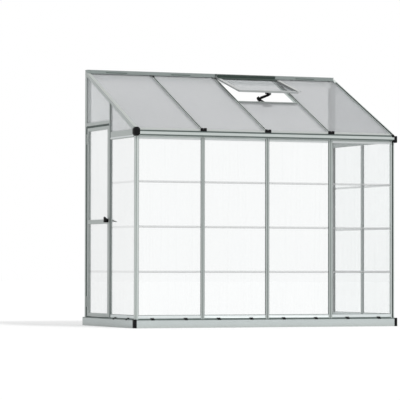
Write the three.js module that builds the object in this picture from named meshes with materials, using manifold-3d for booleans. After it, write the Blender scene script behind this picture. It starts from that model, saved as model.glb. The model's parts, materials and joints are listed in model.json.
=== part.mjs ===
// A lean-to greenhouse: an aluminium frame on a steel base, clear ribbed wall sheets, a twin-wall
// roof with one opening vent, and a side door. Millimetres, X along the house wall, Y towards it, Z up.
import * as THREE from "three";
import { mergeVertices } from "three/addons/utils/BufferGeometryUtils.js";
import Module from "manifold-3d";

const wasm = await Module();
wasm.setup();

// Overall sizes
const baseWidth = 2440;
const baseDepth = 1220;
const baseHeight = 72;
const gutterTop = 1640;
const ridgeTop = 2220;
const bayCount = 4;
const leftBayCount = 2; // bays to the left of the vent's bay
const frameInset = 20; // how far the frame's faces stand back from the base's outer faces
const fit = 0.3; // clearance between pieces that touch
const looseFit = 1; // clearance of pieces that turn or lift out
const overrun = 1; // how far a cutting shape, or the root of a joined one, runs past a face

// Sheets and the grooves that hold them
const wallSheet = 2.4;
const roofSheet = 4;
const grooveDepth = 9;
const wallGroove = wallSheet + 2 * fit;
const roofGroove = roofSheet + 2 * fit;
const sheetEdge = grooveDepth - looseFit; // how far a sheet reaches into its groove

// Upright profiles
const postWidth = 30;
const postDepth = 22;
const postCap = 6; // outer flange in front of the sheet
const postFlange = 3;
const postStem = 18;
const postCore = postWidth - 2 * grooveDepth;
const sidePostCentre = 615; // from the base's front face to the middle posts of the side walls

// Roof slope: the line of the bar caps, from above the gutter to below the ridge
const capLineFrontY = 50;
const capLineOverGutter = 25;
const capLineToWall = 30;
const capLineUnderRidge = 24;
const capLineFrontZ = gutterTop + capLineOverGutter;
const capLineRearY = baseDepth - capLineToWall;
const capLineRearZ = ridgeTop - capLineUnderRidge;
const roofPitch = Math.atan2(capLineRearZ - capLineFrontZ, capLineRearY - capLineFrontY);

// Roof bars, measured square to the roof from the underside of its sheets
const barCapWidth = 18;
const barCapThickness = 3.4;
const barCore = 8;
const barFlangeWidth = 40;
const barFlange = 3;
const barStem = 16;
const barStemDepth = 23;
const barTop = roofGroove + barCapThickness;
const barUnder = -(barFlange + barStemDepth);
const rakeTop = 12;
const rakeUnder = -22;

const frameLeft = frameInset;
const frameRight = baseWidth - frameInset;
const postPitch = (baseWidth - 2 * frameInset - postWidth) / bayCount;
const postX = Array.from({ length: bayCount + 1 }, (_, i) => frameLeft + postWidth / 2 + i * postPitch);
const roofFoot = capLineFrontZ - capLineFrontY * Math.tan(roofPitch) - barTop / Math.cos(roofPitch);

const finish = {
  aluminium: { color: 0xb9c3c0, roughness: 0.45, metalness: 0.6 },
  steel: { color: 0xc8cecd, roughness: 0.5, metalness: 0.5 },
  clearSheet: { color: 0xf2f4f4, roughness: 0.08, metalness: 0, transparent: true, opacity: 0.25 },
  twinWall: { color: 0xc9cacc, roughness: 0.35, metalness: 0, transparent: true, opacity: 0.8 },
  blackPlastic: { color: 0x0b0b0c, roughness: 0.5, metalness: 0 },
};

// A named mesh with its own material.
function part(name, geometry, look) {
  const flat = geometry.index ? geometry.toNonIndexed() : geometry;
  flat.computeVertexNormals();
  const mesh = new THREE.Mesh(flat, new THREE.MeshStandardMaterial(look));
  mesh.name = name;
  return mesh;
}

// Joining and cutting of closed meshes.
function solidOf(geometry) {
  const bare = new THREE.BufferGeometry();
  const source = geometry.index ? geometry.toNonIndexed() : geometry;
  bare.setAttribute("position", source.getAttribute("position"));
  const merged = mergeVertices(bare);
  const vertProperties = new Float32Array(merged.getAttribute("position").array);
  const triVerts = new Uint32Array(merged.index.array);
  return new wasm.Manifold(new wasm.Mesh({ numProp: 3, vertProperties, triVerts }));
}

function geometryOf(solid) {
  const mesh = solid.getMesh();
  const geometry = new THREE.BufferGeometry();
  geometry.setAttribute("position", new THREE.BufferAttribute(new Float32Array(mesh.vertProperties), 3));
  geometry.setIndex(new THREE.BufferAttribute(new Uint32Array(mesh.triVerts), 1));
  return geometry;
}

function join(first, ...rest) {
  return geometryOf(rest.reduce((whole, piece) => whole.add(solidOf(piece)), solidOf(first)));
}

function cut(first, ...rest) {
  return geometryOf(rest.reduce((whole, piece) => whole.subtract(solidOf(piece)), solidOf(first)));
}

// Straight extrusions of an outline: given as [y, z] along X, as [x, z] along Y, as [x, y] along Z.
function extrusion(outline, length) {
  const shape = new THREE.Shape(outline.map(([a, b]) => new THREE.Vector2(a, b)));
  return new THREE.ExtrudeGeometry(shape, { depth: length, bevelEnabled: false });
}

function alongX(outline, from, to) {
  const turn = new THREE.Matrix4().set(0, 0, 1, from, 1, 0, 0, 0, 0, 1, 0, 0, 0, 0, 0, 1);
  return extrusion(outline, to - from).applyMatrix4(turn);
}

function alongY(outline, from, to) {
  const turn = new THREE.Matrix4().set(1, 0, 0, 0, 0, 0, -1, to, 0, 1, 0, 0, 0, 0, 0, 1);
  return extrusion(outline, to - from).applyMatrix4(turn);
}

function alongZ(outline, from, to) {
  return extrusion(outline, to - from).translate(0, 0, from);
}

function block([x0, x1], [y0, y1], [z0, z1]) {
  const size = [x1 - x0, y1 - y0, z1 - z0];
  return new THREE.BoxGeometry(...size).translate((x0 + x1) / 2, (y0 + y1) / 2, (z0 + z1) / 2);
}

// A round outline of a radius about a point.
function disc(radius, a, b, sides = 20) {
  return Array.from({ length: sides }, (_, i) => {
    const angle = (2 * Math.PI * i) / sides;
    return [a + radius * Math.cos(angle), b + radius * Math.sin(angle)];
  });
}

// A tapered link outline from a round end at zero to a round end at the given reach.
function taper(reach, startRadius, endRadius, steps = 8) {
  const lean = Math.asin((startRadius - endRadius) / Math.abs(reach));
  const way = Math.sign(reach);
  const arc = (centre, radius, from, to) =>
    Array.from({ length: steps + 1 }, (_, i) => {
      const angle = from + ((to - from) * i) / steps;
      return [centre + way * radius * Math.cos(angle), radius * Math.sin(angle)];
    });
  const edge = Math.PI / 2 - lean;
  return [...arc(reach, endRadius, -edge, edge), ...arc(0, startRadius, edge, 2 * Math.PI - edge)];
}

// The roof plane: local x along the wall, y up the slope, z square to the sheets.
const roofMatrix = new THREE.Matrix4()
  .makeTranslation(0, 0, roofFoot)
  .multiply(new THREE.Matrix4().makeRotationX(roofPitch));
const toRoof = roofMatrix.clone().invert();

function roofHeight(y, offset) {
  return roofFoot + y * Math.tan(roofPitch) + offset / Math.cos(roofPitch);
}

function roofPoint(y, z) {
  const point = new THREE.Vector3(0, y, z).applyMatrix4(toRoof);
  return [point.y, point.z];
}

// Everything above a plane parallel to the roof, to trim pieces that meet a sloped profile.
function aboveRoof(offset) {
  const front = -baseDepth;
  const rear = 2 * baseDepth;
  const high = 2 * ridgeTop;
  const outline = [
    [front, roofHeight(front, offset)],
    [rear, roofHeight(rear, offset)],
    [rear, high],
    [front, high],
  ];
  return alongX(outline, -baseWidth, 2 * baseWidth);
}

// Base

const baseWall = 2;
const baseFlange = 48;
const baseLip = 10;
const cornerWrap = 27; // black corner piece along each base side
const cornerWall = 4;
const cornerTongue = 30; // part of the corner piece inside each rail
const sillHeight = 32;
const sillWall = 2.5;
const sillFloor = 4;

// C section, web at zero, open towards positive, from the floor up.
const baseSection = [
  [0, 0],
  [baseFlange, 0],
  [baseFlange, baseLip],
  [baseFlange - baseWall, baseLip],
  [baseFlange - baseWall, baseWall],
  [baseWall, baseWall],
  [baseWall, baseHeight - baseWall],
  [baseFlange - baseWall, baseHeight - baseWall],
  [baseFlange - baseWall, baseHeight - baseLip],
  [baseFlange, baseHeight - baseLip],
  [baseFlange, baseHeight],
  [0, baseHeight],
];

// The channel that takes a sheet's edge, across from the base's outer face and up from a level.
function sillSection(level, way = 1, height = sillHeight) {
  const outer = frameInset + postCap - sillWall;
  const grooveStart = frameInset + postCap;
  const grooveEnd = grooveStart + wallGroove;
  const inner = grooveEnd + sillWall;
  const root = level - way * (baseWall / 2);
  const floor = level + way * sillFloor;
  const rim = level + way * height;
  return [
    [outer, root],
    [inner, root],
    [inner, rim],
    [grooveEnd, rim],
    [grooveEnd, floor],
    [grooveStart, floor],
    [grooveStart, rim],
    [outer, rim],
  ];
}

// The clear stretches between the front posts.
function frontBays(clearance) {
  const half = postWidth / 2 + clearance;
  return postX.slice(0, bayCount).map((x, i) => [x + half, postX[i + 1] - half]);
}

function baseRailFront() {
  const rail = alongX(baseSection, cornerWrap + fit, baseWidth - cornerWrap - fit);
  const sills = frontBays(fit).map(([from, to]) => alongX(sillSection(baseHeight), from, to));
  return join(rail, ...sills);
}

function baseRailRear() {
  const section = baseSection.map(([y, z]) => [baseDepth - y, z]);
  return alongX(section, baseFlange + fit, baseWidth - baseFlange - fit);
}

// A side rail seen from the left: web at X zero. Sills stand on the given stretches.
function baseRailSide(stretches) {
  const rail = alongY(baseSection, cornerWrap + fit, baseDepth);
  const frontLap = block(
    [baseWall + fit, baseFlange + fit],
    [0, baseFlange + fit],
    [-fit, baseHeight + fit],
  );
  const sills = stretches.map(([from, to]) => alongY(sillSection(baseHeight), from, to));
  return join(cut(rail, frontLap), ...sills);
}

function baseCorner() {
  const inset = baseWall + fit;
  const tongueReach = cornerWrap + cornerTongue;
  const tongueHeight = [cornerWall, baseHeight - baseLip - fit];
  return join(
    block([0, cornerWrap], [0, cornerWall], [0, baseHeight]),
    block([0, cornerWall], [0, cornerWrap], [0, baseHeight]),
    block([0, cornerWrap], [0, cornerWrap], [baseHeight - cornerWall, baseHeight]),
    block([0, cornerWrap], [0, cornerWrap], [0, cornerWall]),
    block([inset, tongueReach], [inset, inset + cornerWall], tongueHeight),
    block([inset, inset + cornerWall], [inset, tongueReach], tongueHeight),
  );
}

// Levels and places that several pieces share

const rearPostDepth = 40;
const rearPostFront = baseDepth - rearPostDepth;
const gutterHeight = 42;
const gutterBottom = gutterTop - gutterHeight;
const gutterDepth = 58;
const sheetBottom = baseHeight + sillFloor + looseFit;
const sheetTop = gutterBottom - sillFloor - looseFit;
const eaveRailBottom = sheetTop + looseFit - grooveDepth;
const eaveRailHeight = 67;
const eaveRailTop = eaveRailBottom + eaveRailHeight;
const railWidth = 24; // side rails and lintel, from the outer face inwards
const ridgePlate = 4;
const ridgeHeight = 90;
const ridgePlateBottom = ridgeTop - ridgeHeight;
const sidePostFront = sidePostCentre - postWidth / 2;
const sidePostRear = sidePostCentre + postWidth / 2;
const cornerPostRear = frameInset + postWidth;
const lintelUnderRidge = 500;
const lintelBottom = ridgeTop - lintelUnderRidge;
const lintelHeight = 33;
const grooveNear = frameInset + postCap; // the sheets' groove, from the base's outer face
const grooveFar = grooveNear + wallGroove;

// Posts

const wallFlange = 4; // plate that is screwed to the house wall
const wallFlangeReach = 55;

// Section of a post with a groove on each side: across, and inwards from its outer face.
const postSection = (() => {
  const face = postWidth / 2;
  const core = postCore / 2;
  const stem = postStem / 2;
  const groove = postCap + wallGroove;
  const flange = groove + postFlange;
  const half = [
    [face, 0],
    [face, postCap],
    [core, postCap],
    [core, groove],
    [face, groove],
    [face, flange],
    [stem, flange],
    [stem, postDepth],
  ];
  return [...half, ...half.map(([across, inwards]) => [-across, inwards]).reverse()];
})();

function frontPost() {
  return alongZ(postSection, baseHeight + fit, gutterBottom - fit);
}

function cornerPost() {
  const groove = postCap + wallGroove;
  const bottom = postWidth - grooveDepth;
  const section = [
    [0, 0],
    [postWidth, 0],
    [postWidth, postCap],
    [bottom, postCap],
    [bottom, groove],
    [postWidth, groove],
    [postWidth, postWidth],
    [groove, postWidth],
    [groove, bottom],
    [postCap, bottom],
    [postCap, postWidth],
    [0, postWidth],
  ];
  return alongZ(section, baseHeight + fit, gutterBottom - fit).translate(frameInset, frameInset, 0);
}

// A middle post of a side wall, its outer face towards negative X.
function sidePost(top) {
  const section = postSection.map(([across, inwards]) => [frameInset + inwards, sidePostCentre + across]);
  return alongZ(section, baseHeight + fit, top);
}

function doorPost() {
  return cut(sidePost(ridgeTop), aboveRoof(rakeUnder - fit));
}

function rearPost() {
  const groove = postCap + wallGroove;
  const section = [
    [0, 0],
    [postCap, 0],
    [postCap, grooveDepth],
    [groove, grooveDepth],
    [groove, 0],
    [postWidth, 0],
    [postWidth, rearPostDepth],
    [0, rearPostDepth],
  ].map(([x, y]) => [frameInset + x, rearPostFront + y]);
  const trimmed = cut(alongZ(section, baseHeight + fit, ridgeTop), aboveRoof(rakeUnder - fit));
  const flange = block(
    [frameInset + postWidth - wallFlange, frameInset + wallFlangeReach],
    [baseDepth - wallFlange, baseDepth],
    [baseHeight + fit, ridgePlateBottom - fit],
  );
  return join(trimmed, flange);
}

// Eaves

const gutterWall = 2;
const gutterLip = 6;
const gutterInnerTop = roofHeight(gutterDepth - gutterWall, barUnder) - fit; // carries the roof bars
const channelHeight = 12; // glazing channel under the gutter
const endCapWidth = 27;
const endCapDepth = 62;
const endCapUnder = 16; // below the gutter
const endCapOver = 28; // above the gutter
const endCapChamfer = 12;
const barEnd = 14; // front end of the roof bars, behind the gutter's face
const lobeReach = 27;
const lobeInner = 3;
const lobeHeight = 30;
const lobeWebHeight = 21;
const lobeChamfer = 4;

function gutter() {
  const inner = gutterDepth - gutterWall;
  const section = [
    [0, gutterBottom],
    [gutterDepth, gutterBottom],
    [gutterDepth, gutterInnerTop],
    [inner, gutterInnerTop],
    [inner, gutterBottom + gutterWall],
    [gutterWall, gutterBottom + gutterWall],
    [gutterWall, gutterTop - gutterWall],
    [gutterLip, gutterTop - gutterWall],
    [gutterLip, gutterTop],
    [0, gutterTop],
  ];
  const trough = alongX(section, endCapWidth + fit, baseWidth - endCapWidth - fit);
  const channel = sillSection(gutterBottom, -1, channelHeight);
  return join(trough, ...frontBays(fit).map(([from, to]) => alongX(channel, from, to)));
}

// Black corner piece over the end of the gutter and the foot of the gable rake.
function gutterEndCap() {
  const under = gutterBottom - endCapUnder;
  const over = gutterTop + endCapOver;
  const side = [
    [endCapChamfer, under],
    [endCapDepth - endCapChamfer, under],
    [endCapDepth, under + endCapChamfer],
    [endCapDepth, over - endCapChamfer],
    [endCapDepth - endCapChamfer, over],
    [endCapChamfer, over],
    [0, over - endCapChamfer],
    [0, under + endCapChamfer],
  ];
  const postRoom = block(
    [frameInset - fit, 2 * endCapWidth],
    [frameInset - fit, 2 * endCapDepth],
    [under - fit, gutterBottom],
  );
  const lobe = block(
    [0, endCapWidth + lobeReach],
    [0, barEnd - fit],
    [gutterTop + fit, gutterTop + endCapOver - lobeChamfer],
  );
  return join(cut(alongX(side, 0, endCapWidth), postRoom), lobe);
}

// Black two-lobed cap over the lower end of a roof bar.
function barEndCap() {
  const foot = gutterTop + fit;
  const top = foot + lobeHeight;
  const half = [
    [lobeReach, foot],
    [lobeReach, top - lobeChamfer],
    [lobeReach - lobeChamfer, top],
    [lobeInner + lobeChamfer, top],
    [lobeInner, top - lobeChamfer],
    [lobeInner, foot + lobeWebHeight],
  ];
  return alongY([...half, ...half.map(([x, z]) => [-x, z]).reverse()], 0, barEnd - fit);
}

// Horizontal rail of a side wall, grooved below where it holds a wall sheet and above for a gable sheet.
function sideRail(bottom, height, [from, to], grooveBelow) {
  const top = bottom + height;
  const inner = frameInset + railWidth;
  const below = [
    [grooveNear, bottom],
    [grooveNear, bottom + grooveDepth],
    [grooveFar, bottom + grooveDepth],
    [grooveFar, bottom],
  ];
  const section = [
    [frameInset, bottom],
    ...(grooveBelow ? below : []),
    [inner, bottom],
    [inner, top],
    [grooveFar, top],
    [grooveFar, top - grooveDepth],
    [grooveNear, top - grooveDepth],
    [grooveNear, top],
    [frameInset, top],
  ];
  return cut(alongY(section, from, to), aboveRoof(rakeUnder - fit));
}

// Wall sheets

const ribCount = 3;
const ribFirst = 467; // level of the lowest rib
const ribPitch = 375;
const ribLevels = Array.from({ length: ribCount }, (_, i) => ribFirst + i * ribPitch);
const ribInset = 36; // from the visible edge of a sheet to the end of its ribs
const ribProud = 3;
const ribFoot = 16;
const ribCrest = 7;
const ribWall = 1.2;
const ribRoot = 0.6; // how far a rib's outline reaches into its sheet

// A flat sheet standing in local XZ with its outer face at Y zero and ribs pressed outwards.
function ribbedSheet(width, bottom, top, levels, margin) {
  const ribEnds = [margin, width - margin];
  const sheet = block([0, width], [0, wallSheet], [bottom, top]);
  const ribs = levels.map((level) =>
    alongX(
      [
        [ribRoot, level - ribFoot / 2],
        [ribRoot, level + ribFoot / 2],
        [0, level + ribFoot / 2],
        [-ribProud, level + ribCrest / 2],
        [-ribProud, level - ribCrest / 2],
        [0, level - ribFoot / 2],
      ],
      ...ribEnds,
    ),
  );
  const hollows = levels.map((level) =>
    alongX(
      [
        [wallSheet + ribRoot, level - ribFoot / 2 + ribWall],
        [wallSheet + ribRoot, level + ribFoot / 2 - ribWall],
        [ribWall - ribProud, level + ribCrest / 2 - ribWall],
        [ribWall - ribProud, level - ribCrest / 2 + ribWall],
      ],
      margin + ribWall,
      width - margin - ribWall,
    ),
  );
  return levels.length ? cut(join(sheet, ...ribs), ...hollows) : sheet;
}

function frontSheet(bay) {
  const from = postX[bay] + postWidth / 2 - sheetEdge;
  const to = postX[bay + 1] - postWidth / 2 + sheetEdge;
  const sheet = ribbedSheet(to - from, sheetBottom, sheetTop, ribLevels, sheetEdge + ribInset);
  return sheet.translate(from, grooveNear + fit, 0);
}

// A sheet of a side wall, its outer face towards negative X.
function sideSheet([from, to], levels = ribLevels) {
  const sheet = ribbedSheet(to - from, sheetBottom, sheetTop, levels, sheetEdge + ribInset);
  return sheet.rotateZ(-Math.PI / 2).translate(grooveNear + fit, to, 0);
}

// A gable sheet under the rake, from its bottom edge up to the rake's groove.
function gableSheet(bottom, from, to) {
  const offset = rakeUnder + sheetEdge;
  const tip = (bottom - roofHeight(0, offset)) / Math.tan(roofPitch);
  const front = Math.max(from, tip);
  const outline = [
    [front, bottom],
    [to, bottom],
    [to, roofHeight(to, offset)],
  ];
  if (front > tip) outline.push([front, roofHeight(front, offset)]);
  return alongX(outline, grooveNear + fit, grooveNear + fit + wallSheet);
}

// Ridge

const ridgeDepth = 54; // from the house wall to the front face of the ridge beam
const lipFront = baseDepth - ridgeDepth;
const lipWall = 3;
const hookReach = 16; // the hinge channel stands out in front of the lip
const hookFront = lipFront - hookReach;
const hookWall = 2.5;
const hookRise = 6.5;
const shelfReach = 70; // from the house wall to the front edge of the shelf under the bars
const shelfFront = baseDepth - shelfReach;
const shelfThickness = 4;
const beadRadius = 5;
const beadClearance = 0.5;
const hookBottom = roofHeight(lipFront + lipWall, barTop) + looseFit;
const hookFloor = hookBottom + lipWall;
const hingeY = (hookFront + hookWall + lipFront) / 2;
const hingeZ = hookFloor + beadClearance + beadRadius;
const [hingeSlope, hingeLift] = roofPoint(hingeY, hingeZ);

function ridgeBeam() {
  const plateFront = baseDepth - ridgePlate;
  const shelf = (y) => roofHeight(y, barUnder - fit);
  const section = [
    [baseDepth, ridgePlateBottom],
    [baseDepth, ridgeTop],
    [lipFront, ridgeTop],
    [lipFront, hookFloor],
    [hookFront + hookWall, hookFloor],
    [hookFront + hookWall, hookBottom + hookRise],
    [hookFront, hookBottom + hookRise],
    [hookFront, hookBottom],
    [lipFront + lipWall, hookBottom],
    [lipFront + lipWall, ridgeTop - ridgePlate],
    [plateFront, ridgeTop - ridgePlate],
    [plateFront, shelf(plateFront)],
    [shelfFront, shelf(shelfFront)],
    [shelfFront, shelf(shelfFront) - shelfThickness],
    [plateFront, shelf(plateFront) - shelfThickness],
    [plateFront, ridgePlateBottom],
  ];
  const rakeRoom = (edge) =>
    block(
      [edge - postWidth - fit, edge + postWidth + fit],
      [hookFront - fit, baseDepth + fit],
      [ridgePlateBottom - fit, roofHeight(baseDepth, rakeTop) + fit],
    );
  return cut(alongX(section, frameLeft, frameRight), rakeRoom(frameLeft), rakeRoom(frameRight));
}

// Roof, in its own sloped frame

const sheetFront = 20; // lower edge of the roof sheets, up the slope from the base's front
const sheetRearGap = 13; // from the upper edge of the roof sheets to the ridge beam's plate
const sheetRear = (baseDepth - ridgePlate) / Math.cos(roofPitch) - sheetRearGap;
const sashLength = 540; // from the vent's hinge line to the sash's lower edge
const crossRailLead = 34.5; // the rail under the sash starts this far down the slope from that edge
const crossRailFront = hingeSlope - sashLength - crossRailLead;
const crossRailCap = 24;
const crossRailLedge = 44;
const crossRailStem = 8;
const crossRailStemFront = 14;
const crossRailStemDepth = 17;

// The space in front of, behind and under the roof profiles that the rest of the frame fills.
function roofTrims() {
  const wide = [-baseWidth, 2 * baseWidth];
  const tall = [0, 2 * ridgeTop];
  const trims = [
    block(wide, [-baseDepth, barEnd], tall),
    block(wide, [baseDepth, 2 * baseDepth], tall),
    block(wide, [-baseDepth, gutterDepth + fit], [0, gutterInnerTop + fit]),
  ];
  return trims.map((trim) => trim.applyMatrix4(toRoof));
}

function roofBar() {
  const half = [
    [barCapWidth / 2, barTop],
    [barCapWidth / 2, roofGroove],
    [barCore / 2, roofGroove],
    [barCore / 2, 0],
    [barFlangeWidth / 2, 0],
    [barFlangeWidth / 2, -barFlange],
    [barStem / 2, -barFlange],
    [barStem / 2, barUnder],
  ];
  const section = [...half, ...half.map(([x, z]) => [-x, z]).reverse()];
  const plateRoom = block(
    [-baseWidth, baseWidth],
    [baseDepth - ridgePlate - fit, 2 * baseDepth],
    [0, 2 * ridgeTop],
  ).applyMatrix4(toRoof);
  return cut(alongY(section, -baseDepth / 2, 2 * baseDepth), ...roofTrims(), plateRoom);
}

function gableRake() {
  const inner = frameInset + postWidth;
  const bottom = inner - grooveDepth;
  const stem = frameInset + railWidth;
  const section = [
    [frameInset, rakeTop],
    [inner, rakeTop],
    [inner, roofGroove],
    [bottom, roofGroove],
    [bottom, 0],
    [inner, 0],
    [inner, -barFlange],
    [stem, -barFlange],
    [stem, rakeUnder],
    [grooveFar, rakeUnder],
    [grooveFar, rakeUnder + grooveDepth],
    [grooveNear, rakeUnder + grooveDepth],
    [grooveNear, rakeUnder],
    [frameInset, rakeUnder],
  ];
  const capRoom = block(
    [-endCapWidth, endCapWidth + fit],
    [-endCapDepth, endCapDepth + fit],
    [0, 2 * gutterTop],
  ).applyMatrix4(toRoof);
  return cut(alongY(section, -baseDepth / 2, 2 * baseDepth), ...roofTrims(), capRoom);
}

function roofSheetBetween(left, right, rear) {
  return block([left, right], [sheetFront, rear], [fit, fit + roofSheet]);
}

// Opening vent, in a frame whose origin is its hinge line

const ventRestAngle = 9; // degrees open from closed, as it stands
const sashSideGap = 2.3;
const sashHeight = 18;
const sashRail = 22;
const sashTopRail = 28;
const sashTopEdge = 15.5; // from the hinge line down to the sash
const sashGrooveLift = 7;
const finThickness = 3.5;
const finHeight = 24;
const neckLift = 3.4;
const neckThickness = 3;
const ventLeft = postX[leftBayCount] + barCapWidth / 2 + sashSideGap;
const ventRight = postX[leftBayCount + 1] - barCapWidth / 2 - sashSideGap;
const sashUnder = looseFit - hingeLift;

// Stay of the vent: two equal links that fold at an elbow with a knob
const stayAside = 20; // from the middle of the vent to the stay
const stayX = (ventLeft + ventRight) / 2 + stayAside;
const linkLength = 112;
const linkThickness = 3;
const linkEndRadius = 5.5;
const linkElbowRadius = 9;
const stayPinRadius = 3;
const stayBore = 3.4;
const stayDrop = 28; // frame pivot below the roof's underside
const sashPinDrop = 12; // sash pin below the sash
const lugHalf = 12;
const lugThickness = 4;
const lugSlotHalf = 3.8;
const lugSlotBelow = 9.5;
const slotSlack = 1.5; // how far the pin stands below the middle of the slot's head
const lugRim = 4;
const bracketHeight = 16;
const bracketReach = crossRailLedge + fit;
const pinHeadRadius = 6;
const pinHead = 2;
const knobRadius = 13;
const knobThickness = 13;
const wingHalf = 5;
const wingUp = 18;
const wingDown = 15;
const sashPinLength = 20;
const linkGap = 0.4;
const lowerLinkSlope = crossRailFront + crossRailLedge + 2 * linkGap;
const upperLinkSlope = lowerLinkSlope + linkThickness + linkGap;

// How far each link leans from the ridge direction at rest, from the height of the sash's slot.
const stayRestAngle = (() => {
  const open = THREE.MathUtils.degToRad(ventRestAngle);
  const along = -sashLength + sashRail;
  const pinLift = hingeLift - along * Math.sin(open) + (sashUnder - sashPinDrop) * Math.cos(open);
  return Math.asin((pinLift + stayDrop - slotSlack) / (2 * linkLength));
})();

function ventCrossRail() {
  const end = crossRailFront + crossRailCap;
  const ledge = crossRailFront + crossRailLedge;
  const groove = crossRailFront + grooveDepth;
  const stemFront = crossRailFront + crossRailStemFront;
  const stemRear = stemFront + crossRailStem;
  const under = -(barFlange + crossRailStemDepth);
  const section = [
    [crossRailFront, barTop],
    [crossRailFront, roofGroove],
    [groove, roofGroove],
    [groove, 0],
    [crossRailFront, 0],
    [crossRailFront, -barFlange],
    [stemFront, -barFlange],
    [stemFront, under],
    [stemRear, under],
    [stemRear, -barFlange],
    [ledge, -barFlange],
    [ledge, 0],
    [end, 0],
    [end, barTop],
  ];
  const rail = alongX(
    section,
    postX[leftBayCount] + barFlangeWidth / 2 + fit,
    postX[leftBayCount + 1] - barFlangeWidth / 2 - fit,
  );
  const bracket = block(
    [stayX - lugHalf, stayX + lugHalf],
    [stemFront, crossRailFront + bracketReach],
    [-stayDrop - bracketHeight / 2, under + overrun],
  );
  const pinEnd = lowerLinkSlope + linkThickness + linkGap;
  const pin = alongY(disc(stayPinRadius, stayX, -stayDrop), crossRailFront + crossRailCap, pinEnd);
  const head = alongY(disc(pinHeadRadius, stayX, -stayDrop), pinEnd - linkGap / 2, pinEnd + pinHead);
  return join(rail, bracket, pin, head);
}

function ventSash() {
  const low = -sashLength;
  const high = -sashTopEdge;
  const over = sashUnder + sashHeight;
  const windowSpan = [low + sashRail, high - sashTopRail];
  const grooveLow = sashUnder + sashGrooveLift;
  const outer = block([ventLeft, ventRight], [low, high], [sashUnder, over]);
  const window = block([ventLeft + sashRail, ventRight - sashRail], windowSpan, [
    sashUnder - overrun,
    over + overrun,
  ]);
  const groove = block(
    [ventLeft + sashRail - grooveDepth, ventRight - sashRail + grooveDepth],
    [windowSpan[0] - grooveDepth, windowSpan[1] + grooveDepth],
    [grooveLow, grooveLow + roofGroove],
  );
  const pinLevel = sashUnder - sashPinDrop;
  const lugSpan = [low + sashRail - lugThickness / 2, low + sashRail + lugThickness / 2];
  const lugBottom = pinLevel - lugSlotBelow - lugRim;
  const lug = block([stayX - lugHalf, stayX + lugHalf], lugSpan, [lugBottom, sashUnder + overrun]);
  const slot = block(
    [stayX - lugSlotHalf, stayX + lugSlotHalf],
    [lugSpan[0] - overrun, lugSpan[1] + overrun],
    [pinLevel - lugSlotBelow, pinLevel + lugSlotHalf],
  );
  const finSpan = [high - finThickness, high];
  return join(
    cut(outer, window, groove),
    cut(lug, slot),
    alongX(disc(beadRadius, 0, 0), ventLeft, ventRight),
    block([ventLeft, ventRight], [high - finThickness, 0], [neckLift, neckLift + neckThickness]),
    block([ventLeft, ventRight], finSpan, [over - overrun, finHeight]),
  );
}

function ventSheet() {
  const low = sashUnder + sashGrooveLift + fit;
  return block(
    [ventLeft + sashRail - sheetEdge, ventRight - sashRail + sheetEdge],
    [-sashLength + sashRail - sheetEdge, -sashTopEdge - sashTopRail + sheetEdge],
    [low, low + roofSheet],
  );
}

// Lower link: from its frame pivot at zero towards negative X, with the elbow's pin and knob.
function stayLowerLink() {
  const front = lowerLinkSlope;
  const rear = upperLinkSlope + linkThickness + linkGap;
  const knob = [rear, rear + knobThickness];
  const link = alongY(taper(-linkLength, linkEndRadius, linkElbowRadius), front, front + linkThickness);
  const bore = alongY(disc(stayBore, 0, 0), front - overrun, front + linkThickness + overrun);
  const pin = alongY(disc(stayPinRadius, -linkLength, 0), front + overrun, rear + overrun);
  const wing = block([-wingHalf, wingHalf], knob, [-wingDown, wingUp]).rotateY(-stayRestAngle);
  return join(
    cut(link, bore),
    pin,
    alongY(disc(knobRadius, -linkLength, 0), ...knob),
    wing.translate(-linkLength, 0, 0),
  );
}

// Upper link: from the elbow at zero towards positive X, with the pin that rides in the sash's slot.
function stayUpperLink() {
  const front = upperLinkSlope;
  const link = alongY(taper(linkLength, linkElbowRadius, linkEndRadius), front, front + linkThickness);
  const bore = alongY(disc(stayBore, 0, 0), front - overrun, front + linkThickness + overrun);
  const pin = alongY(disc(stayPinRadius, linkLength, 0), front + overrun, front + sashPinLength);
  return join(cut(link, bore), pin);
}

// Door, in a frame whose origin is the lower outer corner at the hinge side

const doorLockGap = 3;
const doorHingeGap = 5;
const doorFootGap = 10; // above the base
const doorFoot = baseHeight + doorFootGap;
const doorTopGap = 3;
const doorThickness = 22;
const doorStile = 38;
const doorTopRail = 38;
const doorBottomRail = 28;
const doorMidRail = 37;
const doorMidRailLevel = 875;
const doorFront = sidePostRear + doorLockGap;
const doorRear = rearPostFront - doorHingeGap;
const doorWidth = doorRear - doorFront;
const doorHeight = lintelBottom - doorTopGap - doorFoot;
const doorGroove = [doorThickness / 2 - wallGroove / 2, doorThickness / 2 + wallGroove / 2];
const doorMidFoot = doorMidRailLevel - doorFoot;

// Hinges
const hingeOut = 6; // axis in front of the door's outer face
const hingeHeight = 84;
const knuckleHalf = hingeHeight / 2 / 3; // half of the middle third
const hingeFromFoot = 124; // middle of the lower hinge above the door's foot
const hingeFromTop = 105; // middle of the upper hinge below the door's top
const hingeLevels = [doorFoot + hingeFromFoot, doorFoot + doorHeight - hingeFromTop];
const knuckleRadius = 5;
const hingePinRadius = 2.6;
const hingeBore = 3.1;
const leafThickness = 3;
const leafReach = 32;
const leafStart = 6;
const knuckleGap = 0.5;
const hingeAxisBack = 1.5; // axis behind the door's rear edge

// Handle
const spindleLevel = 905;
const spindleInset = 20; // from the lock edge
const spindleRadius = 6;
const spindleHole = 6.6;
const roseRadius = 17;
const roseThickness = 4;
const handleReach = 52;
const gripRoot = 12; // half height of the grip at its rose
const wingOuter = 27; // half height of the grip at its outer end
const wedgeHalf = 9;
const leverReach = 58;
const leverHalf = 7;
const leverRoot = 9; // half height of the lever at its rose
const leverDip = 13.6;
const camClear = 1;
const camThickness = 3;
const camHalf = 8;
const camReach = 42;

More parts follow.
